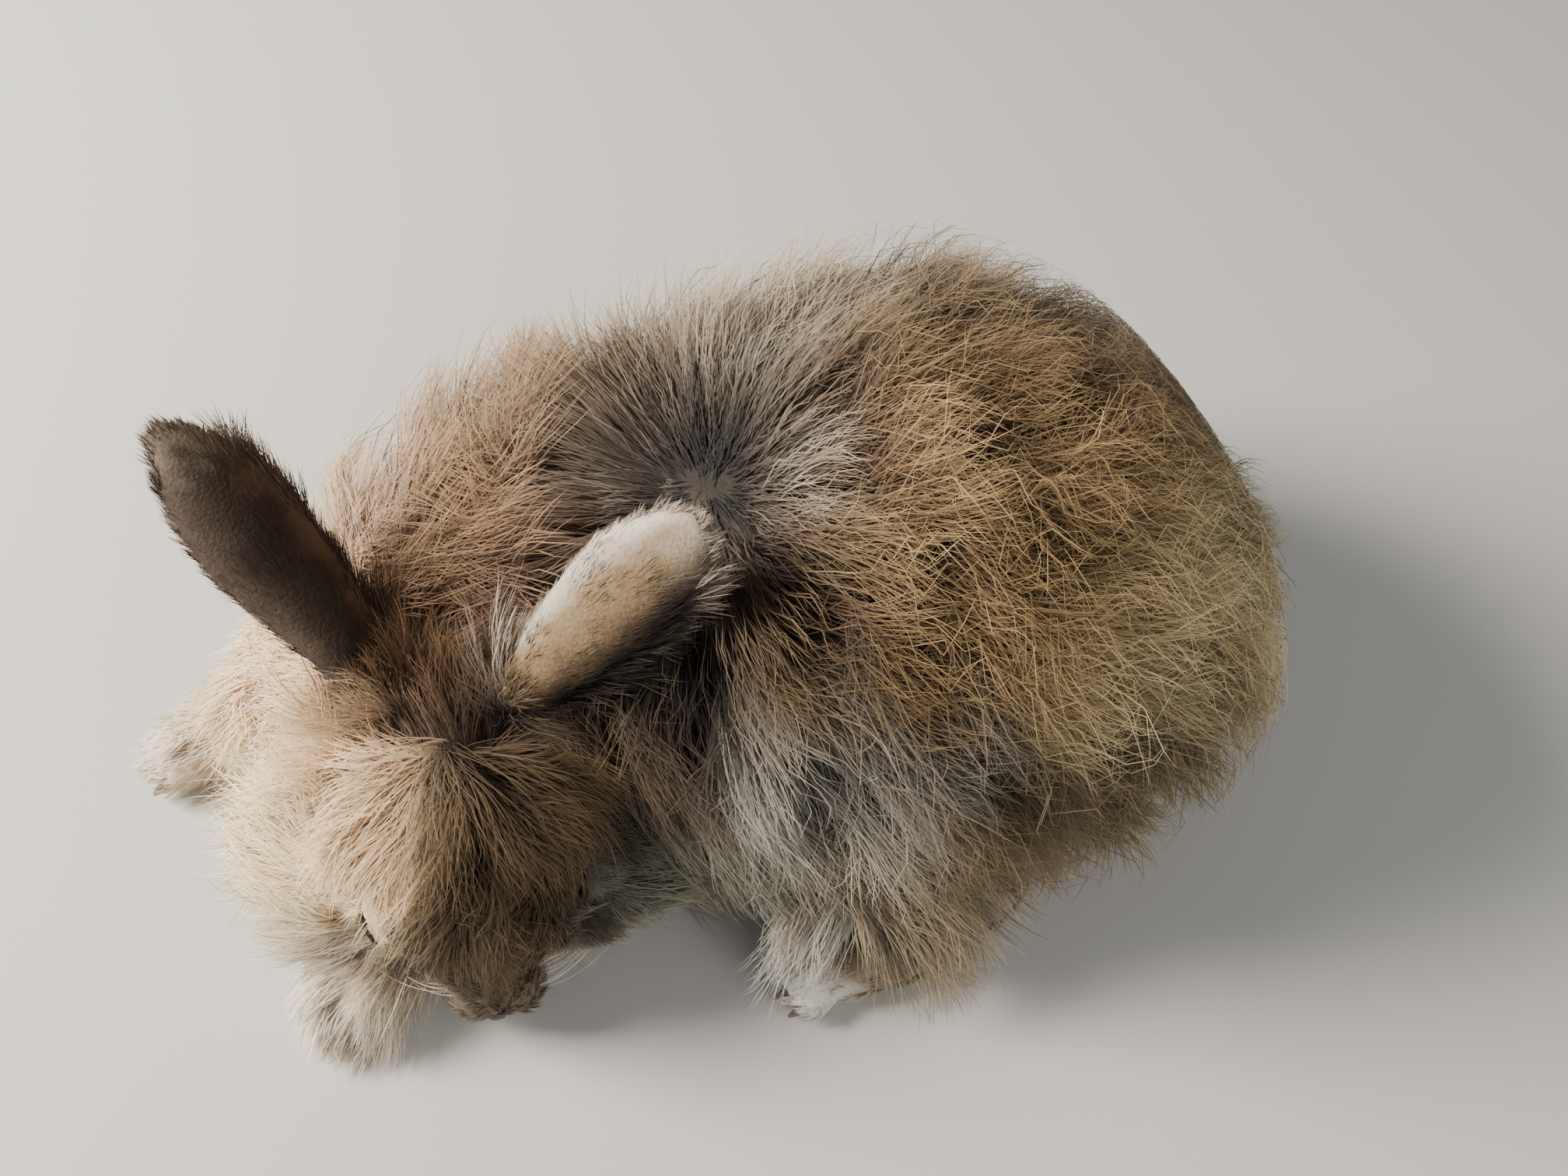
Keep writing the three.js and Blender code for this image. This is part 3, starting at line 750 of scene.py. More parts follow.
def lie_of_coat(points, normals, owner):
    """The way the coat lies at each root, along the skin."""
    zero = 0 * points[:, 0]
    way = np.stack([0.25 * normals[:, 0], zero + 1, -0.7 * (1 - np.maximum(normals[:, 2], 0))], -1)
    # Chest wool hangs forwards and down.
    chest = ramp(-points[:, 1], 118, 150)[:, None]
    way = blend(way, np.stack([0.5 * normals[:, 0], zero - 0.5, zero - 0.9], -1), chest)
    # On the back the wool goes out from the whorl all round.
    whorl = near_whorl(points, 58)[:, None] * ramp(normals[:, 2:], 0.25, 0.7)
    way = blend(way, 1.4 * unit((points - WHORL) * (1, 1, 0)), whorl)
    for names, hang in LIMB_WAYS:
        way = blend(way, np.array(hang), part_of(owner, *names)[:, None])
    way = blend(way, head_way(points), part_of(owner, "head")[:, None])
    # Ears: from base to tip, and out over the rims.
    for side in (LEFT, RIGHT):
        along, across, _ = ear_place(points, side)
        _, ahead, _, over, _, _ = ear_frame(side, along)
        share = part_of(owner, "ear_" + SIDE_NAME[side])[:, None]
        way = blend(way, ahead + 0.35 * across[:, None] * over, share)
    way = unit(along_skin(way, normals))
    # Locks wander and gather: the way leans towards the ridges of a slow field, so that neighbours
    # close up and gaps open beside them, and turns about the normal by three fields more.
    calm = (part_of(owner, *EAR_REGIONS) + 0.6 * part_of(owner, *FOOT_REGIONS)
            + 0.95 * near_whorl(points, 34))
    loose = 1 - np.clip(calm, 0, 1)
    uphill = np.stack([lock_ridge(points + step) - lock_ridge(points - step) for step in np.eye(3)], -1)
    way = unit(way + loose[:, None] * along_skin(uphill, normals))
    turn = 0.4 * drift(points, 60, 3) + 0.45 * drift(points, 19, 4) + 0.25 * drift(points, 8, 8)
    turn = (turn * loose)[:, None]
    return unit(way * np.cos(turn) + np.cross(normals, way) * np.sin(turn))


# Region: length of the coat, its lift at root and tip in degrees, sideways curl, hug of the body.
COATS = {
    "trunk": (50, 64, 14, 2.8, 0.0),
    "head": (30, 66, 16, 2.4, 0.35),
    "ear": (7.2, 20, 6, 0.3, 0.0),
    "foreleg": (24, 45, 16, 1.3, 0.3),
    "paw": (9, 34, 10, 0.6, 0.5),
    "hind": (8, 34, 10, 0.5, 0.5),
    "thigh": (41, 58, 20, 2.2, 0.1),
    "tail": (9, 30, 12, 1.0, 0.5),
}
COAT_ROWS = np.array([COATS[name.split("_")[0]] for name in REGIONS], float)


def coat_at(points, owner):
    """Length, lifts, curl and hug of the coat at each root."""
    row = owner @ COAT_ROWS
    trunk, head = part_of(owner, "trunk"), part_of(owner, "head")
    # The left forepaw is feathered; the wool round the tail is kept short.
    feathered = 1 + 0.9 * part_of(owner, "paw_left") + 0.3 * part_of(owner, "foreleg_left")
    length = row[:, 0] * feathered * (1 - 0.55 * part_of(owner, "tail"))
    # The wool of the chest end and under the belly is shorter.
    length = length * (1 - 0.35 * ramp(-points[:, 1], 120, 170) * trunk)
    length = length * (1 - 0.75 * ramp(-points[:, 2], -22, -6) * part_of(owner, "trunk", *THIGH_REGIONS))
    # Little hair stands in the middle of the whorl.
    parted = near_whorl(points, 17)
    length = length * (1 - 0.75 * parted) * (1 - 0.3 * valley(points) * (1 - parted))
    # Head: cheeks longer, the wool round the eyes shorter, fur on the muzzle and the lids.
    local = off_head(points)
    cheeks = ramp(np.abs(local[:, 1]), 12, 24) * ramp(-local[:, 2], -8, 8)
    left = ramp(local[:, 1], 0, 20)
    apart = eye_gap(local)
    bare = np.maximum(ramp(local[:, 0], 24, 40), 1 - ramp(apart, 9, 16))
    opened = 0.43 + 0.57 * ramp(apart - 0.25 * local[:, 2], 12, 31)
    wool = (34 + (8 + 12 * left) * cheeks) * opened
    fur = 5 + 4 * ramp(-local[:, 0], -54, -40)
    length = blend(length, blend(wool, fur, bare), head)
    lift = row[:, 1:3] * (1 - 0.45 * bare * head - 0.5 * parted + 0.25 * cheeks * left * head)[:, None]
    # Tips stand out more on the rump and the far side; curls are fuller on the back.
    lift[:, 1] += (14 * ramp(points[:, 1], 60, 115) + 8 * ramp(-points[:, 0], 40, 80)) * trunk
    back = np.exp(-(((points - (30, 45, 130)) / (80, 75, 80)) ** 2).sum(-1))
    curl = row[:, 3] * (1 - 0.8 * bare * head) * (0.8 + 0.8 * back * trunk)
    return length, lift, curl * (1 - 0.9 * near_whorl(points, 36)), row[:, 4] * (1 - 0.8 * cheeks * head)


def ribbons(points, wide, width):
    """Flat tapered strands: two corners at each station but the last, one at the tip.

    points is [strand, station, xyz]; the half width is width / 2 times sqrt(1 - s^2), fuller at the
    root. The third value is the station of each corner of a strand.
    """
    count, stations = points.shape[:2]
    share = np.linspace(0, 1, stations)[:-1]
    half = (0.5 * width[:, None] * np.sqrt(1 - share**2))[..., None] * wide[:, :-1]
    sides = np.stack([points[:, :-1] - half, points[:, :-1] + half], 2).reshape(count, -1, 3)
    corners = np.concatenate([sides, points[:, -1:]], 1)
    each = corners.shape[1]
    step = np.arange(stations - 2)[:, None] * 2
    strand = np.concatenate([step + [0, 1, 3], step + [0, 3, 2], [[each - 3, each - 2, each - 1]]])
    faces = strand + each * np.arange(count)[:, None, None]
    station = np.r_[np.repeat(np.arange(stations - 1), 2), stations - 1]
    return corners.reshape(-1, 3), faces.reshape(-1, 3), station


def within_outline(path, slack):
    """Draws in what sticks out of the trunk's outline, by a slack given for each strand.

    The outline is where q = ((|x/w|^r + |z/h|^r)^(e/r) + |2t - 1|^e)^(1/e) is 1, with r for the
    roundness across and e for that of the ends. A point with q beyond SPILL goes towards the middle
    until its q is SPILL plus slack times the tanh of what it was over.
    """
    share = (path[..., 1].ravel() - TRUNK_START) / (TRUNK_END - TRUNK_START)
    flat = path.reshape(-1, 3)
    middle, half_width, top, lean = between(TRUNK, np.clip(flat[:, 1], TRUNK[0][0], TRUNK[-1][0])).T
    centre_height, half_height = (top - TRUNK_SINK) / 2, (top + TRUNK_SINK) / 2
    high = (flat[:, 2] - centre_height) / half_height
    halfway = np.full(len(flat), (TRUNK_START + TRUNK_END) / 2)
    centre = np.stack([middle + lean * high, halfway, centre_height], -1)
    round_it = np.abs((flat[:, 0] - centre[:, 0]) / half_width) ** ROUNDNESS + np.abs(high) ** ROUNDNESS
    closing = np.abs(2 * share - 1) ** END_ROUNDNESS
    q = (round_it ** (END_ROUNDNESS / ROUNDNESS) + closing) ** (1 / END_ROUNDNESS)
    room = np.repeat(slack, path.shape[1])
    drawn = np.where(q > SPILL, SPILL + room * np.tanh((q - SPILL) / (1.6 * room)), q)
    return (centre + (flat - centre) * (drawn / np.maximum(q, 1e-6))[:, None]).reshape(path.shape)


def kept_near(path):
    """Bends off softly, in place, what strays past the outermost lines."""
    for axis, line, past in FAR_LINES:
        over = np.maximum((path[..., axis] - line) * np.sign(past), 0) / abs(past)
        path[..., axis] -= past * (over - np.tanh(over))


def strand_tones(place, start, root, owner, per_tuft, tip_highlight):
    """Tip, middle and root colour of each strand, by where its outer part and its root lie."""
    tone = tones_at(place, np.repeat(owner, per_tuft, 0))
    # The middle of the whorl shows the dark underfur.
    tone = tone * (1 - 0.85 * near_whorl(start, 17))[:, None, None]
    tone = blend(tone, WHORL_TONES, 0.9 * near_whorl(start + (5, 2, 0), 24)[:, None, None])
    # Strands differ in brightness, and so do tufts.
    tone = tone * np.exp(chance.normal(0, 0.1, (len(start), 1, 1)))
    tone = tone * np.repeat(np.exp(chance.normal(0, 0.1, (len(root), 1, 1))), per_tuft, 0)
    # Between locks the coat is lower: tips take the middle tone and middles the root tone, partly the darker
    # inner tones and partly painted shade in the gaps.
    low = 0.9 * valley(root) * part_of(owner, "trunk", "head", *THIGH_REGIONS)
    low = np.repeat(low * (1 - 0.5 * ramp(-root[:, 1], 90, 150)), per_tuft)[:, None]
    # Tips are brightened by a factor: a painted highlight, used on the guard hair.
    tone[:, 0] = blend(tone[:, 0], tone[:, 1], low) * tip_highlight
    tone[:, 1] = blend(tone[:, 1], tone[:, 2], 0.8 * low)
    return tone


def grow(name, density, tufts, per_tuft, steps, width, spread, wild=0.13, longer=1.0, curlier=1.0,
         tip_highlight=1.0, trimmed=False, waves=(1.0, 2.0), draw=0.75, outer=0.0):
    """A piece of the coat: tufts of strands that share a root place, a lie and a curl.

    Along each strand the lift falls from root to tip, so its path is the running sum of
    cos(lift) * lie + sin(lift) * normal. Curl adds a helix round that path, and the strands of a
    tuft draw together by draw * s^1.5 of their distance at the root.
    """
    root, normal, owner = scatter(density, tufts)
    way = lie_of_coat(root, normal, owner)
    length, lift, curl, hug = coat_at(root, owner)
    # Locks: neighbours share a length and a lift.
    length = length * longer * (1 + 0.16 * drift(root, 14, 6) + chance.normal(0, 0.06, tufts))
    lift = lift * (1 + 0.25 * drift(root, 19, 7)[:, None])

    def each_strand(field):
        return np.repeat(field, per_tuft, 0)

    total = tufts * per_tuft
    far = spread * np.sqrt(chance.random(total))[:, None]
    angle = chance.uniform(0, 2 * np.pi, total)[:, None]
    ahead, across, up = each_strand(way), each_strand(np.cross(normal, way)), each_strand(normal)
    offset = far * (np.cos(angle) * ahead + np.sin(angle) * across)
    start = each_strand(root) + offset - 0.8 * up
    reach = (each_strand(length) * chance.uniform(0.72, 1.08, total))[:, None]
    stray = chance.normal(0, wild, (2, total, 1))
    ahead = unit(ahead + across * stray[0])
    lifts = np.radians(each_strand(lift) * (1 + 0.5 * stray[1]))
    # One hair in twelve stands out of its lock.
    lifts[:, 1] += np.radians(26) * (chance.random(total) < 1 / 12) * (each_strand(length) > 20)
    phase = (each_strand(chance.uniform(0, 2 * np.pi, tufts)) + chance.normal(0, 0.25 + wild, total))[:, None]
    turns = (each_strand(chance.uniform(*waves, tufts)) * chance.uniform(0.92, 1.08, total))[:, None]
    size = (each_strand(curl) * curlier * chance.uniform(0.6, 1.4, total))[:, None]
    # Stations stand closer together in the outer part, which shows.
    share = np.linspace(0, 1, steps + 1)
    share = share + outer * share * (1 - share)
    path = [start]
    for begin, end in zip(share[:-1], share[1:]):
        middle = (begin + end) / 2
        angle = (lifts[:, 1] + (lifts[:, 0] - lifts[:, 1]) * (1 - middle) ** 1.4)[:, None]
        step = np.cos(angle) * ahead + np.sin(angle) * up + np.array([0, 0, -0.22 * middle])
        path.append(path[-1] + step * reach * (end - begin))
    swing = 2 * np.pi * turns * share + phase
    wave = size * share**0.8
    sideways = (np.cos(swing) - np.cos(phase)) * wave
    outward = (0.6 * (np.sin(swing) - np.sin(phase)) * wave
               - each_strand(hug)[:, None] * (reach * share) ** 2 / 60)
    path = (np.stack(path, 1) + sideways[..., None] * across[:, None] + outward[..., None] * up[:, None]
            - (draw * share**1.5)[:, None] * offset[:, None])
    if trimmed:
        held = each_strand(part_of(owner, "trunk", "tail")) > 0.5
        path[held] = within_outline(path[held], 0.15 * chance.uniform(0.3, 1.3, held.sum()))
    kept_near(path)
    path[..., 2] = np.maximum(path[..., 2], 0.5 + 0.4 * chance.random(total)[:, None])
    tone = strand_tones(path[:, -2 if steps > 2 else -1], start, root, owner, per_tuft, tip_highlight)
    # Each ribbon is turned about its own line by chance.
    turn = chance.normal(0, 0.5, total)[:, None, None]
    slope = unit(np.gradient(path, axis=1))
    flat = unit(np.cross(slope, up[:, None]))
    wide = flat * np.cos(turn) + np.cross(slope, flat) * np.sin(turn)
    points, faces, station = ribbons(path, wide, width * chance.uniform(0.7, 1.3, total))
    piece = new_piece(name, points, faces, "coat")
    place = share[station][None, :, None]
    inner_tone = blend(tone[:, 2, None], tone[:, 1, None], np.clip(place / MIDDLE_TONE, 0, 1))
    to_tip = np.clip((place - MIDDLE_TONE) / (1 - MIDDLE_TONE), 0, 1)
    paint(piece.data, blend(inner_tone, tone[:, 0, None], to_tip).reshape(-1, 3))
    # Shaded softly: normals lie between the strand's own and the skin's under it.
    soft = unit(0.4 * np.cross(wide, slope) + 0.6 * up[:, None])[:, station]
    piece.data.normals_split_custom_set_from_vertices(soft.reshape(-1, 3).astype(np.float32))
    bake_map(piece, faces, unwrap(root, normal, owner), station, per_tuft)
    piece.data.materials.append(WOOL)


def bake_map(piece, faces, spot, station, per_tuft):
    """The bake's map: a patch for each tuft, root to tip one way and its strands side by side."""
    edges_and_tip = np.r_[np.tile([-0.35, 0.35], station[-1]), 0]
    strand = (np.arange(per_tuft)[:, None] + 0.5 + edges_and_tip) / per_tuft
    along = np.broadcast_to(station / station[-1], strand.shape)
    patch = (np.stack([along, strand], -1) - 0.5) * TUFT_PATCH
    place = (spot[:, None, None] + patch).reshape(-1, 2)
    layer = piece.data.uv_layers.new(name="OFBake")
    layer.data.foreach_set("uv", place[faces.ravel()].astype(np.float32).ravel())


def paint(mesh, colours):
    """Writes linear colours, one for all or one to each corner point, as the colour attribute of marks and
    painted light and shade.
    """
    count = len(mesh.vertices)
    values = np.c_[np.broadcast_to(np.clip(colours, 0, 1), (count, 3)), np.ones(count)]
    layer = mesh.color_attributes.new("markings_light_and_shade", "FLOAT_COLOR", "POINT")
    layer.data.foreach_set("color", values.astype(np.float32).ravel())


# Materials

def add(tree, kind, feeds=(), **settings):
    """Adds a node with its settings; feeds maps an input to a value or to the output that feeds it."""
    node = tree.nodes.new(kind)
    for name, value in settings.items():
        setattr(node, name, value)
    for name, value in dict(feeds).items():
        if isinstance(value, bpy.types.NodeSocket):
            tree.links.new(value, node.inputs[name])
        else:
            node.inputs[name].default_value = value
    return node


def material(name, colour=None, **finish):
    """A new material with its shader; colour is hex, finish gives sockets of the shader by name."""
    made = bpy.data.materials.new(name)
    made.use_nodes = True
    shader = made.node_tree.nodes["Principled BSDF"]
    if colour:
        shader.inputs["Base Color"].default_value = (*srgb(colour), 1)
    for socket, value in finish.items():
        shader.inputs[socket.replace("_", " ")].default_value = value
    return made, made.node_tree, shader


def texture(tree, kind, **feeds):
    """A pattern in the model's own space, in metres."""
    place = add(tree, "ShaderNodeTexCoord")
    return add(tree, "ShaderNodeTex" + kind, {"Vector": place.outputs["Object"], **feeds})


def markings_light_and_shade(tree):
    """The colours that paint writes."""
    return add(tree, "ShaderNodeAttribute", attribute_name="markings_light_and_shade").outputs["Color"]


def grained(tree, shader, low, high, **feeds):
    """Feeds the shader the painted colours, darker to low and brighter to high by a noise, which it gives."""
    noise = texture(tree, "Noise", **feeds).outputs["Fac"]
    level = add(tree, "ShaderNodeMapRange", {"Value": noise, "From Min": 0.3, "From Max": 0.7,
                                             "To Min": low, "To Max": high})
    mixed = add(tree, "ShaderNodeVectorMath", {"Vector": markings_light_and_shade(tree), "Scale": level.outputs["Result"]},
                operation="SCALE")
    tree.links.new(mixed.outputs["Vector"], shader.inputs["Base Color"])
    return noise


def raised(tree, shader, height, depth, strength):
    """Feeds the shader a bump from a pattern; depth is in metres."""
    bump = add(tree, "ShaderNodeBump", {"Height": height, "Distance": depth, "Strength": strength})
    tree.links.new(bump.outputs["Normal"], shader.inputs["Normal"])


def wool_material():
    """Combed angora wool: fine dull fibre, matt with a slight sheen; fibres differ every 2 mm or so."""
    made, tree, shader = material("angora_wool_combed", Roughness=0.72, IOR=1.54, Specular_IOR_Level=0.25,
                                  Sheen_Weight=0.12, Sheen_Roughness=0.5)
    grained(tree, shader, 0.86, 1.14, Scale=500, Detail=2)
    return made


def skin_material():
    """Skin with close underfur: matt, in the painted root tones, some of them painted shade, with a fine nap
    as bump.
    """
    made, tree, shader = material("skin_with_underfur", Roughness=0.8, IOR=1.45, Specular_IOR_Level=0.3)
    nap = grained(tree, shader, 0.8, 1.15, Scale=900, Detail=3)
    raised(tree, shader, nap, 0.0006, 0.7)
    return made


def eye_material():
    """Polished glass eye: a clear coat over the painted iris and pupil."""
    made, tree, shader = material("glass_eye_polished", Roughness=0.05, IOR=1.5, Coat_Weight=1.0,
                                  Coat_Roughness=0.02)
    tree.links.new(markings_light_and_shade(tree), shader.inputs["Base Color"])
    return made


def bare_skin_material():
    """Bare skin of nose and lids: finely pebbled, slightly moist, tone from the painted colours."""
    made, tree, shader = material("bare_skin_moist", Roughness=0.55, IOR=1.4)
    tree.links.new(markings_light_and_shade(tree), shader.inputs["Base Color"])
    raised(tree, shader, texture(tree, "Voronoi", Scale=1800).outputs["Distance"], 0.00025, 0.6)
    return made


def horn_material():
    """Claw horn: dark brown with streaks of growth, satin."""
    made, tree, shader = material("claw_horn", Roughness=0.38, IOR=1.54)
    streak = texture(tree, "Noise", Scale=900, Detail=2)
    tone = add(tree, "ShaderNodeValToRGB", {"Fac": streak.outputs["Fac"]})
    tone.color_ramp.elements[0].color = (*srgb("3a2c22"), 1)
    tone.color_ramp.elements[1].color = (*srgb("8a7560"), 1)
    tree.links.new(tone.outputs["Color"], shader.inputs["Base Color"])
    return made


WOOL = wool_material()
EYE = eye_material()
BARE_SKIN = bare_skin_material()
HORN = horn_material()

# Under short fur the skin takes the middle tone, under wool a darkened root tone.
skin.data.materials.append(skin_material())
skin_tones = tones_at(corners, corner_owner)
short = part_of(corner_owner, *FOOT_REGIONS) + part_of(corner_owner, *EAR_REGIONS) + on_face
paint(skin.data, blend(0.8 * skin_tones[:, 2], skin_tones[:, 1], np.clip(short, 0, 1)[:, None]))

# Coat pieces: how thickly each grows over the regions.
face_local = off_head(centres)
lid_gap = eye_gap(face_local)
head = part_of(face_owner, "head")
front = np.maximum(ramp(face_local[:, 0], 26, 40), 1 - ramp(lid_gap, 9, 14)) * head
open_eye = ramp(lid_gap, 7.6, 8.6)
long_wool = part_of(face_owner, "trunk", *THIGH_REGIONS)
topside = 0.25 + 0.75 * ramp(centres[:, 2], 8, 26)  # thinner under the belly
golden = ramp(centres[:, 2], 40, 90) * ramp(centres[:, 1], -50, 10)
limbs = part_of(face_owner, "foreleg_left", "foreleg_right", "tail")
limbs = limbs + 0.8 * part_of(face_owner, *FOOT_REGIONS)

rim = np.zeros(len(centres))
for side in (LEFT, RIGHT):
    mine = part_of(face_owner, "ear_" + SIDE_NAME[side]) > 0.5
    along, over, _ = ear_place(centres[mine], side)
    rim[mine] = ramp(-over, 0.7, 0.92) * ramp(along, 0.05, 0.3) * (1 - ramp(along, 0.84, 0.93))

# Density, tufts, strands in each, steps along a strand, width and spread of a tuft in millimetres.
for number in range(4):
    grow(f"wool_{number + 1}", long_wool * topside, 2150, 10, 5, 0.34, 3.2,
         trimmed=True, waves=(0.7, 1.5), outer=0.35)
grow("golden_guard_hair", long_wool * golden, 2900, 4, 6, 0.32, 2.6,
     wild=0.22, longer=1.05, curlier=1.7, tip_highlight=1.3, trimmed=True, waves=(1.5, 2.6), draw=0.7, outer=0.5)
for number in range(2):
    grow(f"head_wool_{number + 1}", head * (1 - front), 1500, 10, 6, 0.3, 2.6,
         wild=0.15, waves=(0.5, 1.1), outer=0.3)
grow("leg_wool", limbs, 1900, 10, 3, 0.34, 1.9)
grow("face_fur", front * open_eye, 3600, 5, 2, 0.3, 1.2)
grow("ear_fur", part_of(face_owner, *EAR_REGIONS), 5600, 5, 2, 0.3, 1.3)
grow("ear_fringe", rim, 900, 5, 4, 0.24, 1.6, wild=0.22, longer=2.2)


# Eyes, nose, claws, whiskers

def eye_axes(side):
    """The way an eye looks and two ways across it, on the head's axes."""
    axis = unit(EYE_WAY * (1, side, 1))
    wide = unit(np.cross(axis, (0, 0, 1)))
    return axis, wide, np.cross(wide, axis)


def glass_eye(side):
    """An eyeball with a bulging front: a ball whose radius grows near its axis, painted by angle."""
    axis, wide, high = eye_axes(side)
    v = np.linspace(0, np.pi, 60)[1:-1]
    u = np.linspace(0, 2 * np.pi, 72, endpoint=False)
    radius = EYE_RADIUS * (0.93 + 0.07 * np.exp(-(v / 0.75) ** 4))
    spokes = np.cos(u)[:, None] * wide + np.sin(u)[:, None] * high
    ring = (np.cos(v)[:, None, None] * axis + np.sin(v)[:, None, None] * spokes) * radius[:, None, None]
    place = EYE_PLACE * (1, side, 1)
    ends = on_head(place + axis * radius[0]), on_head(place - axis * radius[-1])
    body, faces = ring_surface(on_head(place + ring), *ends)
    name = SIDE_NAME[side]
    piece = new_piece(f"eyeball_{name}", body, faces[:, ::-1], "eye", [f"eye_{name}"])
    angle = np.r_[0, np.repeat(v, len(u)), np.pi]
    spoke = np.r_[0, np.tile(u, len(v)), 0]
    pupil, iris, white = srgb("0a0807"), srgb("4a2c17"), srgb("5a4a40")
    streak = 1 + 0.35 * np.sin(spoke * 23) * np.sin(spoke * 7 + 1) - 0.3 * ramp(angle, 0.62, 0.8)
    tone = blend(pupil, iris * streak[:, None], ramp(angle, 0.3, 0.36)[:, None])
    paint(piece.data, blend(tone, white, ramp(angle, 0.8, 0.92)[:, None]))
    piece.data.materials.append(EYE)


def lid_rims(side):
    """The bare edge of the lids: a tube round the almond opening, on a shell just over the eyeball."""
    axis, wide, high = eye_axes(side)
    steps, sides = 72, 12
    turn = np.linspace(0, 2 * np.pi, steps, endpoint=False)[:, None]
    open_by = 0.66 + 0.14 * np.abs(np.cos(turn)) ** 1.5
    spoke = np.cos(turn) * wide + np.sin(turn) * high
    out = (np.cos(open_by) * axis + np.sin(open_by) * spoke)[:, None]
    back = (np.sin(open_by) * axis - np.cos(open_by) * spoke)[:, None]
    angle = np.linspace(0, 2 * np.pi, sides, endpoint=False)[:, None]
    tube = out * (EYE_RADIUS + 0.5 + 0.75 * np.cos(angle)) + back * 0.9 * np.sin(angle)
    ring, face = np.meshgrid(np.arange(steps), np.arange(sides), indexing="ij")
    after = (ring + 1) % steps
    beside = (face + 1) % sides
    a, b = ring * sides + face, ring * sides + beside
    c, d = after * sides + face, after * sides + beside
    faces = np.stack([a, b, c, b, d, c], -1).reshape(-1, 3)
    points = on_head(EYE_PLACE * (1, side, 1) + tube.reshape(-1, 3))
    piece = new_piece(f"lid_rims_{SIDE_NAME[side]}", points, faces, "nose")
    paint(piece.data, srgb("2c211b"))
    piece.data.materials.append(BARE_SKIN)


def nose_leather():
    """The bare end of the nose: an egg with a slanted furrow for each nostril and a cleft below."""
    u = np.linspace(0, 2 * np.pi, 96, endpoint=False)
    v = np.linspace(0, np.pi, 60)[1:-1, None]
    way = np.stack([np.cos(v) + 0 * u, np.cos(u) * np.sin(v), np.sin(u) * np.sin(v)], -1)
    local = way * NOSE_SIZE
    nostril = np.exp(-((np.abs(local[..., 1]) - 2.5 - 0.5 * local[..., 2]) / 0.65) ** 2)
    nostril = nostril * ramp(2.9 - np.abs(local[..., 2] + 0.2), 0, 1.2)
    cleft = np.exp(-(local[..., 1] / 0.5) ** 2) * ramp(-local[..., 2], -0.5, 1.5)
    hollow = ramp(way[..., 0], 0.1, 0.5) * np.maximum(nostril * 1.5, cleft * 0.9)
    local = local - hollow[..., None] * way
    pole = np.array([NOSE_SIZE[0], 0, 0])
    body, faces = ring_surface(on_head(NOSE_PLACE + local), on_head(NOSE_PLACE + pole),
                               on_head(NOSE_PLACE - pole))
    piece = new_piece("nose_leather", body, faces, "nose", ["nose"])
    # Painted shade in the nostril furrows and in the cleft below.
    painted_shade = np.r_[0, (hollow / 1.5).ravel(), 0][:, None]
    paint(piece.data, blend(srgb("66524a"), srgb("211815"), painted_shade))
    piece.data.materials.append(BARE_SKIN)


def claw_set(kind, side, path):
    """Four curved claws in the front edge of a foot: bars along a path that dips to the floor."""
    tip = np.array(path[2], float)
    heading = unit((tip - path[1]) * (1, 1, 0))
    across = np.array([heading[1], -heading[0], 0])
    made = []
    for number in range(4):
        aside = 6.5 * (number - 1.5)
        stem = tip * (1, 1, 0) + across * aside - heading * 0.032 * aside**2
        way = [stem + heading * reach + (0, 0, height) for reach, height in CLAW_ARCH]
        made.append(bar(way, [[0, 1.5, 2], [0.5, 1.35, 1.6], [1, 0.8, 1.0]], sides=18, rings=16, blunt=2.2))
    names = [f"{kind}_claw_{SIDE_NAME[side]}_{number + 1}" for number in range(4)]
    piece = new_piece(f"{kind}_claws_{SIDE_NAME[side]}", *joined(made), "claw", names)
    piece.data.materials.append(HORN)


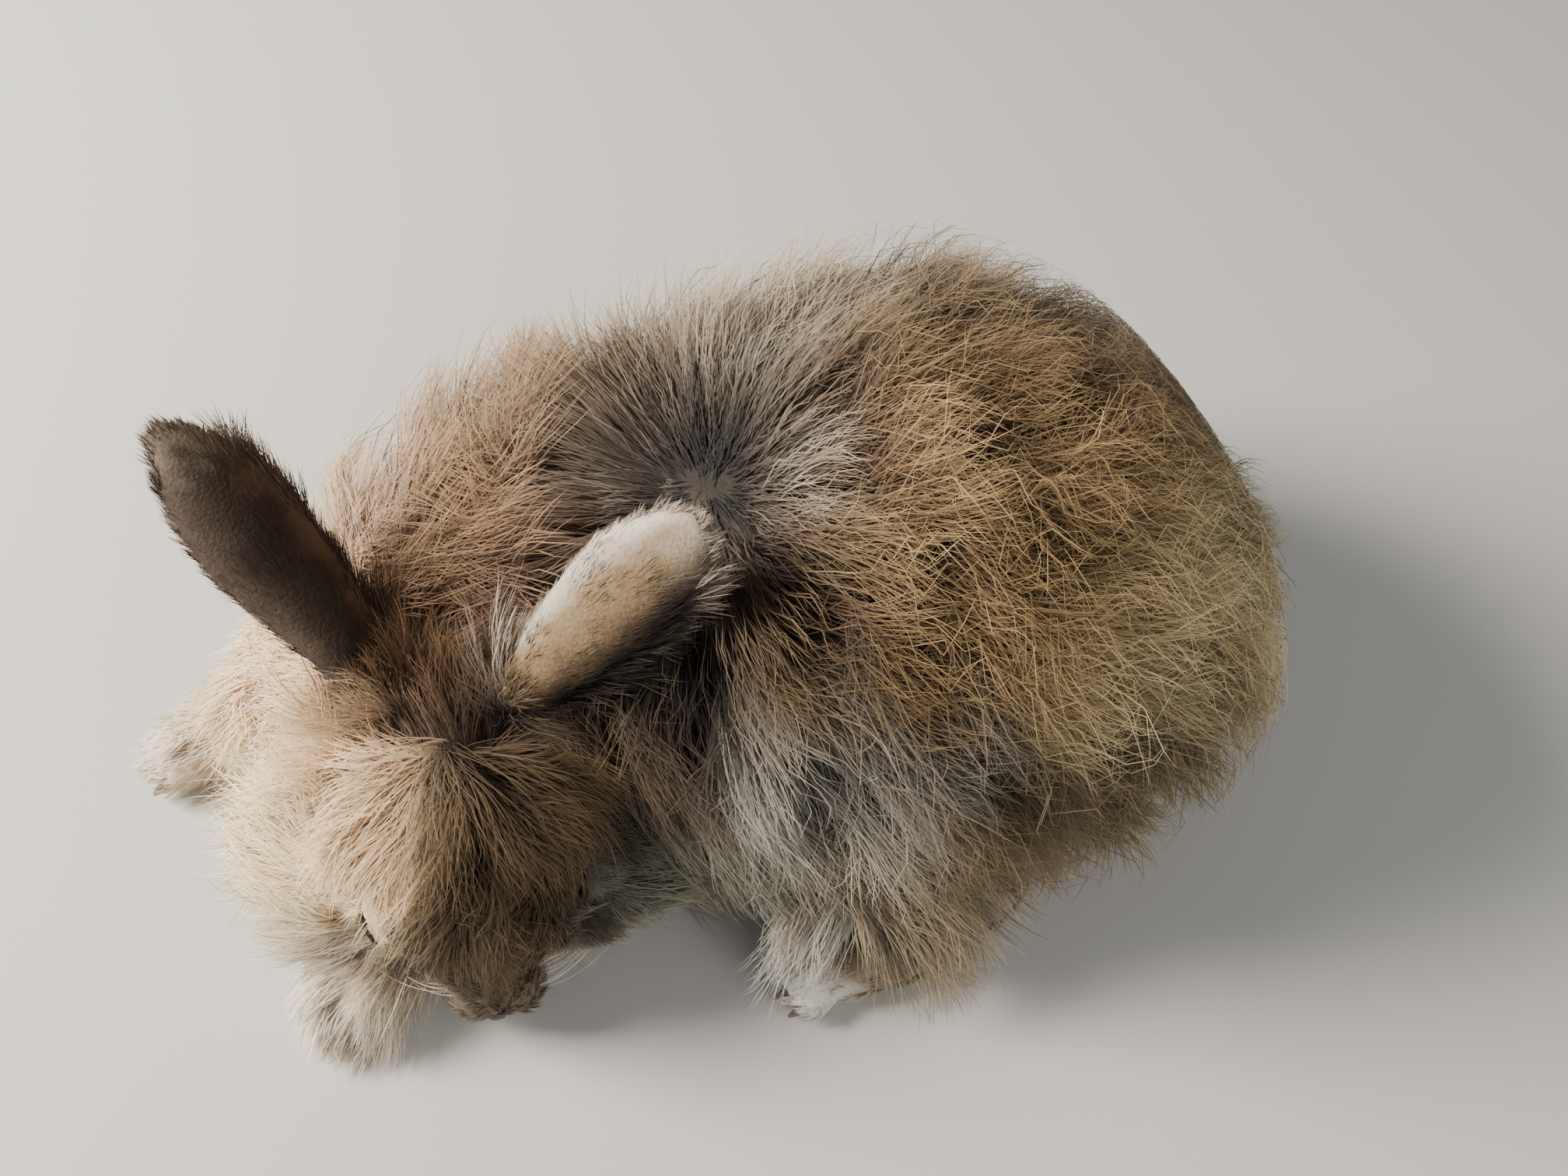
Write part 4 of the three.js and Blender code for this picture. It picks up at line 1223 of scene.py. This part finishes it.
def whiskers():
    """Stiff bent hairs from both whisker pads: strands that leave sideways and curve back."""
    side = np.repeat([LEFT, RIGHT], WHISKERS // 2)
    start = np.stack([chance.uniform(44, 54, WHISKERS), 9.5 * side, chance.uniform(-19, -12, WHISKERS)], -1)
    length = chance.uniform(20, 36, WHISKERS)[:, None, None]
    rise = chance.uniform(-0.15, 0.35, WHISKERS)
    way = unit(np.stack([chance.uniform(-0.15, 0.25, WHISKERS), 1.0 * side, rise], -1))
    share = np.linspace(0, 1, 12)[:, None]
    bend = np.array([-0.6, 0, -0.35])
    path = on_head(start[:, None] + length * (share * way[:, None] + share**2 * bend))
    wide = unit(np.cross(unit(np.gradient(path, axis=1)), (0.5, 0.5, 0.7)))
    points, faces, station = ribbons(path, wide, np.full(WHISKERS, 0.2))
    piece = new_piece("whiskers", points, faces, "coat")
    root = on_head(start)
    bake_map(piece, faces, unwrap(root, way @ HEAD_AXES.T, region_weights(root)), station, 1)
    paint(piece.data, srgb("e8dcc8"))
    piece.data.materials.append(WOOL)


for side in (LEFT, RIGHT):
    glass_eye(side)
for side in (LEFT, RIGHT):
    lid_rims(side)
    claw_set("front", side, FOREPAWS[side])
    claw_set("hind", side, HIND_FEET[side])
nose_leather()
whiskers()


# Floor, light and camera, in metres

bpy.ops.mesh.primitive_plane_add(size=FLOOR_SIZE)
floor = bpy.context.object
floor.name = "floor"
floor_material, _, _ = material("studio_floor_matt", "d9d6cf", Roughness=0.9)
floor.data.materials.append(floor_material)


def set_axes(thing, forward, up, place):
    """Puts a lamp or a camera at place, so that its back is turned to what it looks at."""
    right = unit(np.cross(forward, up))
    columns = np.stack([right, np.cross(right, forward), -forward, place], -1)
    thing.matrix_world = Matrix([*columns.tolist(), [0, 0, 0, 1]])


def area_light(name, place, size, power, tint):
    """A soft square lamp that faces the middle of the rabbit."""
    data = bpy.data.lights.new(name, "AREA")
    data.size, data.energy, data.color = size, power, tint
    lamp = bpy.data.objects.new(name, data)
    bpy.context.scene.collection.objects.link(lamp)
    set_axes(lamp, unit(LAMPS_AIM - place), (0, 0, 1), place)


area_light("key", KEY_PLACE, size=0.6, power=51, tint=(1.0, 0.95, 0.875))
area_light("fill", FILL_PLACE, size=1.2, power=9, tint=(0.98, 0.99, 1.0))
world = bpy.data.worlds.new("studio")
bpy.context.scene.world = world
world.use_nodes = True
sky = world.node_tree.nodes["Background"]
sky.inputs["Color"].default_value = (0.96, 0.97, 1.0, 1)
sky.inputs["Strength"].default_value = SKY_LIGHT

camera = bpy.data.objects.new("camera", bpy.data.cameras.new("camera"))
bpy.context.scene.collection.objects.link(camera)
camera.data.lens, camera.data.sensor_width, camera.data.sensor_fit = LENS, SENSOR, "HORIZONTAL"
camera.data.clip_start = 0.01
set_axes(camera, unit(CAMERA_WAY), CAMERA_UP, CAMERA_PLACE)
bpy.context.scene.camera = camera
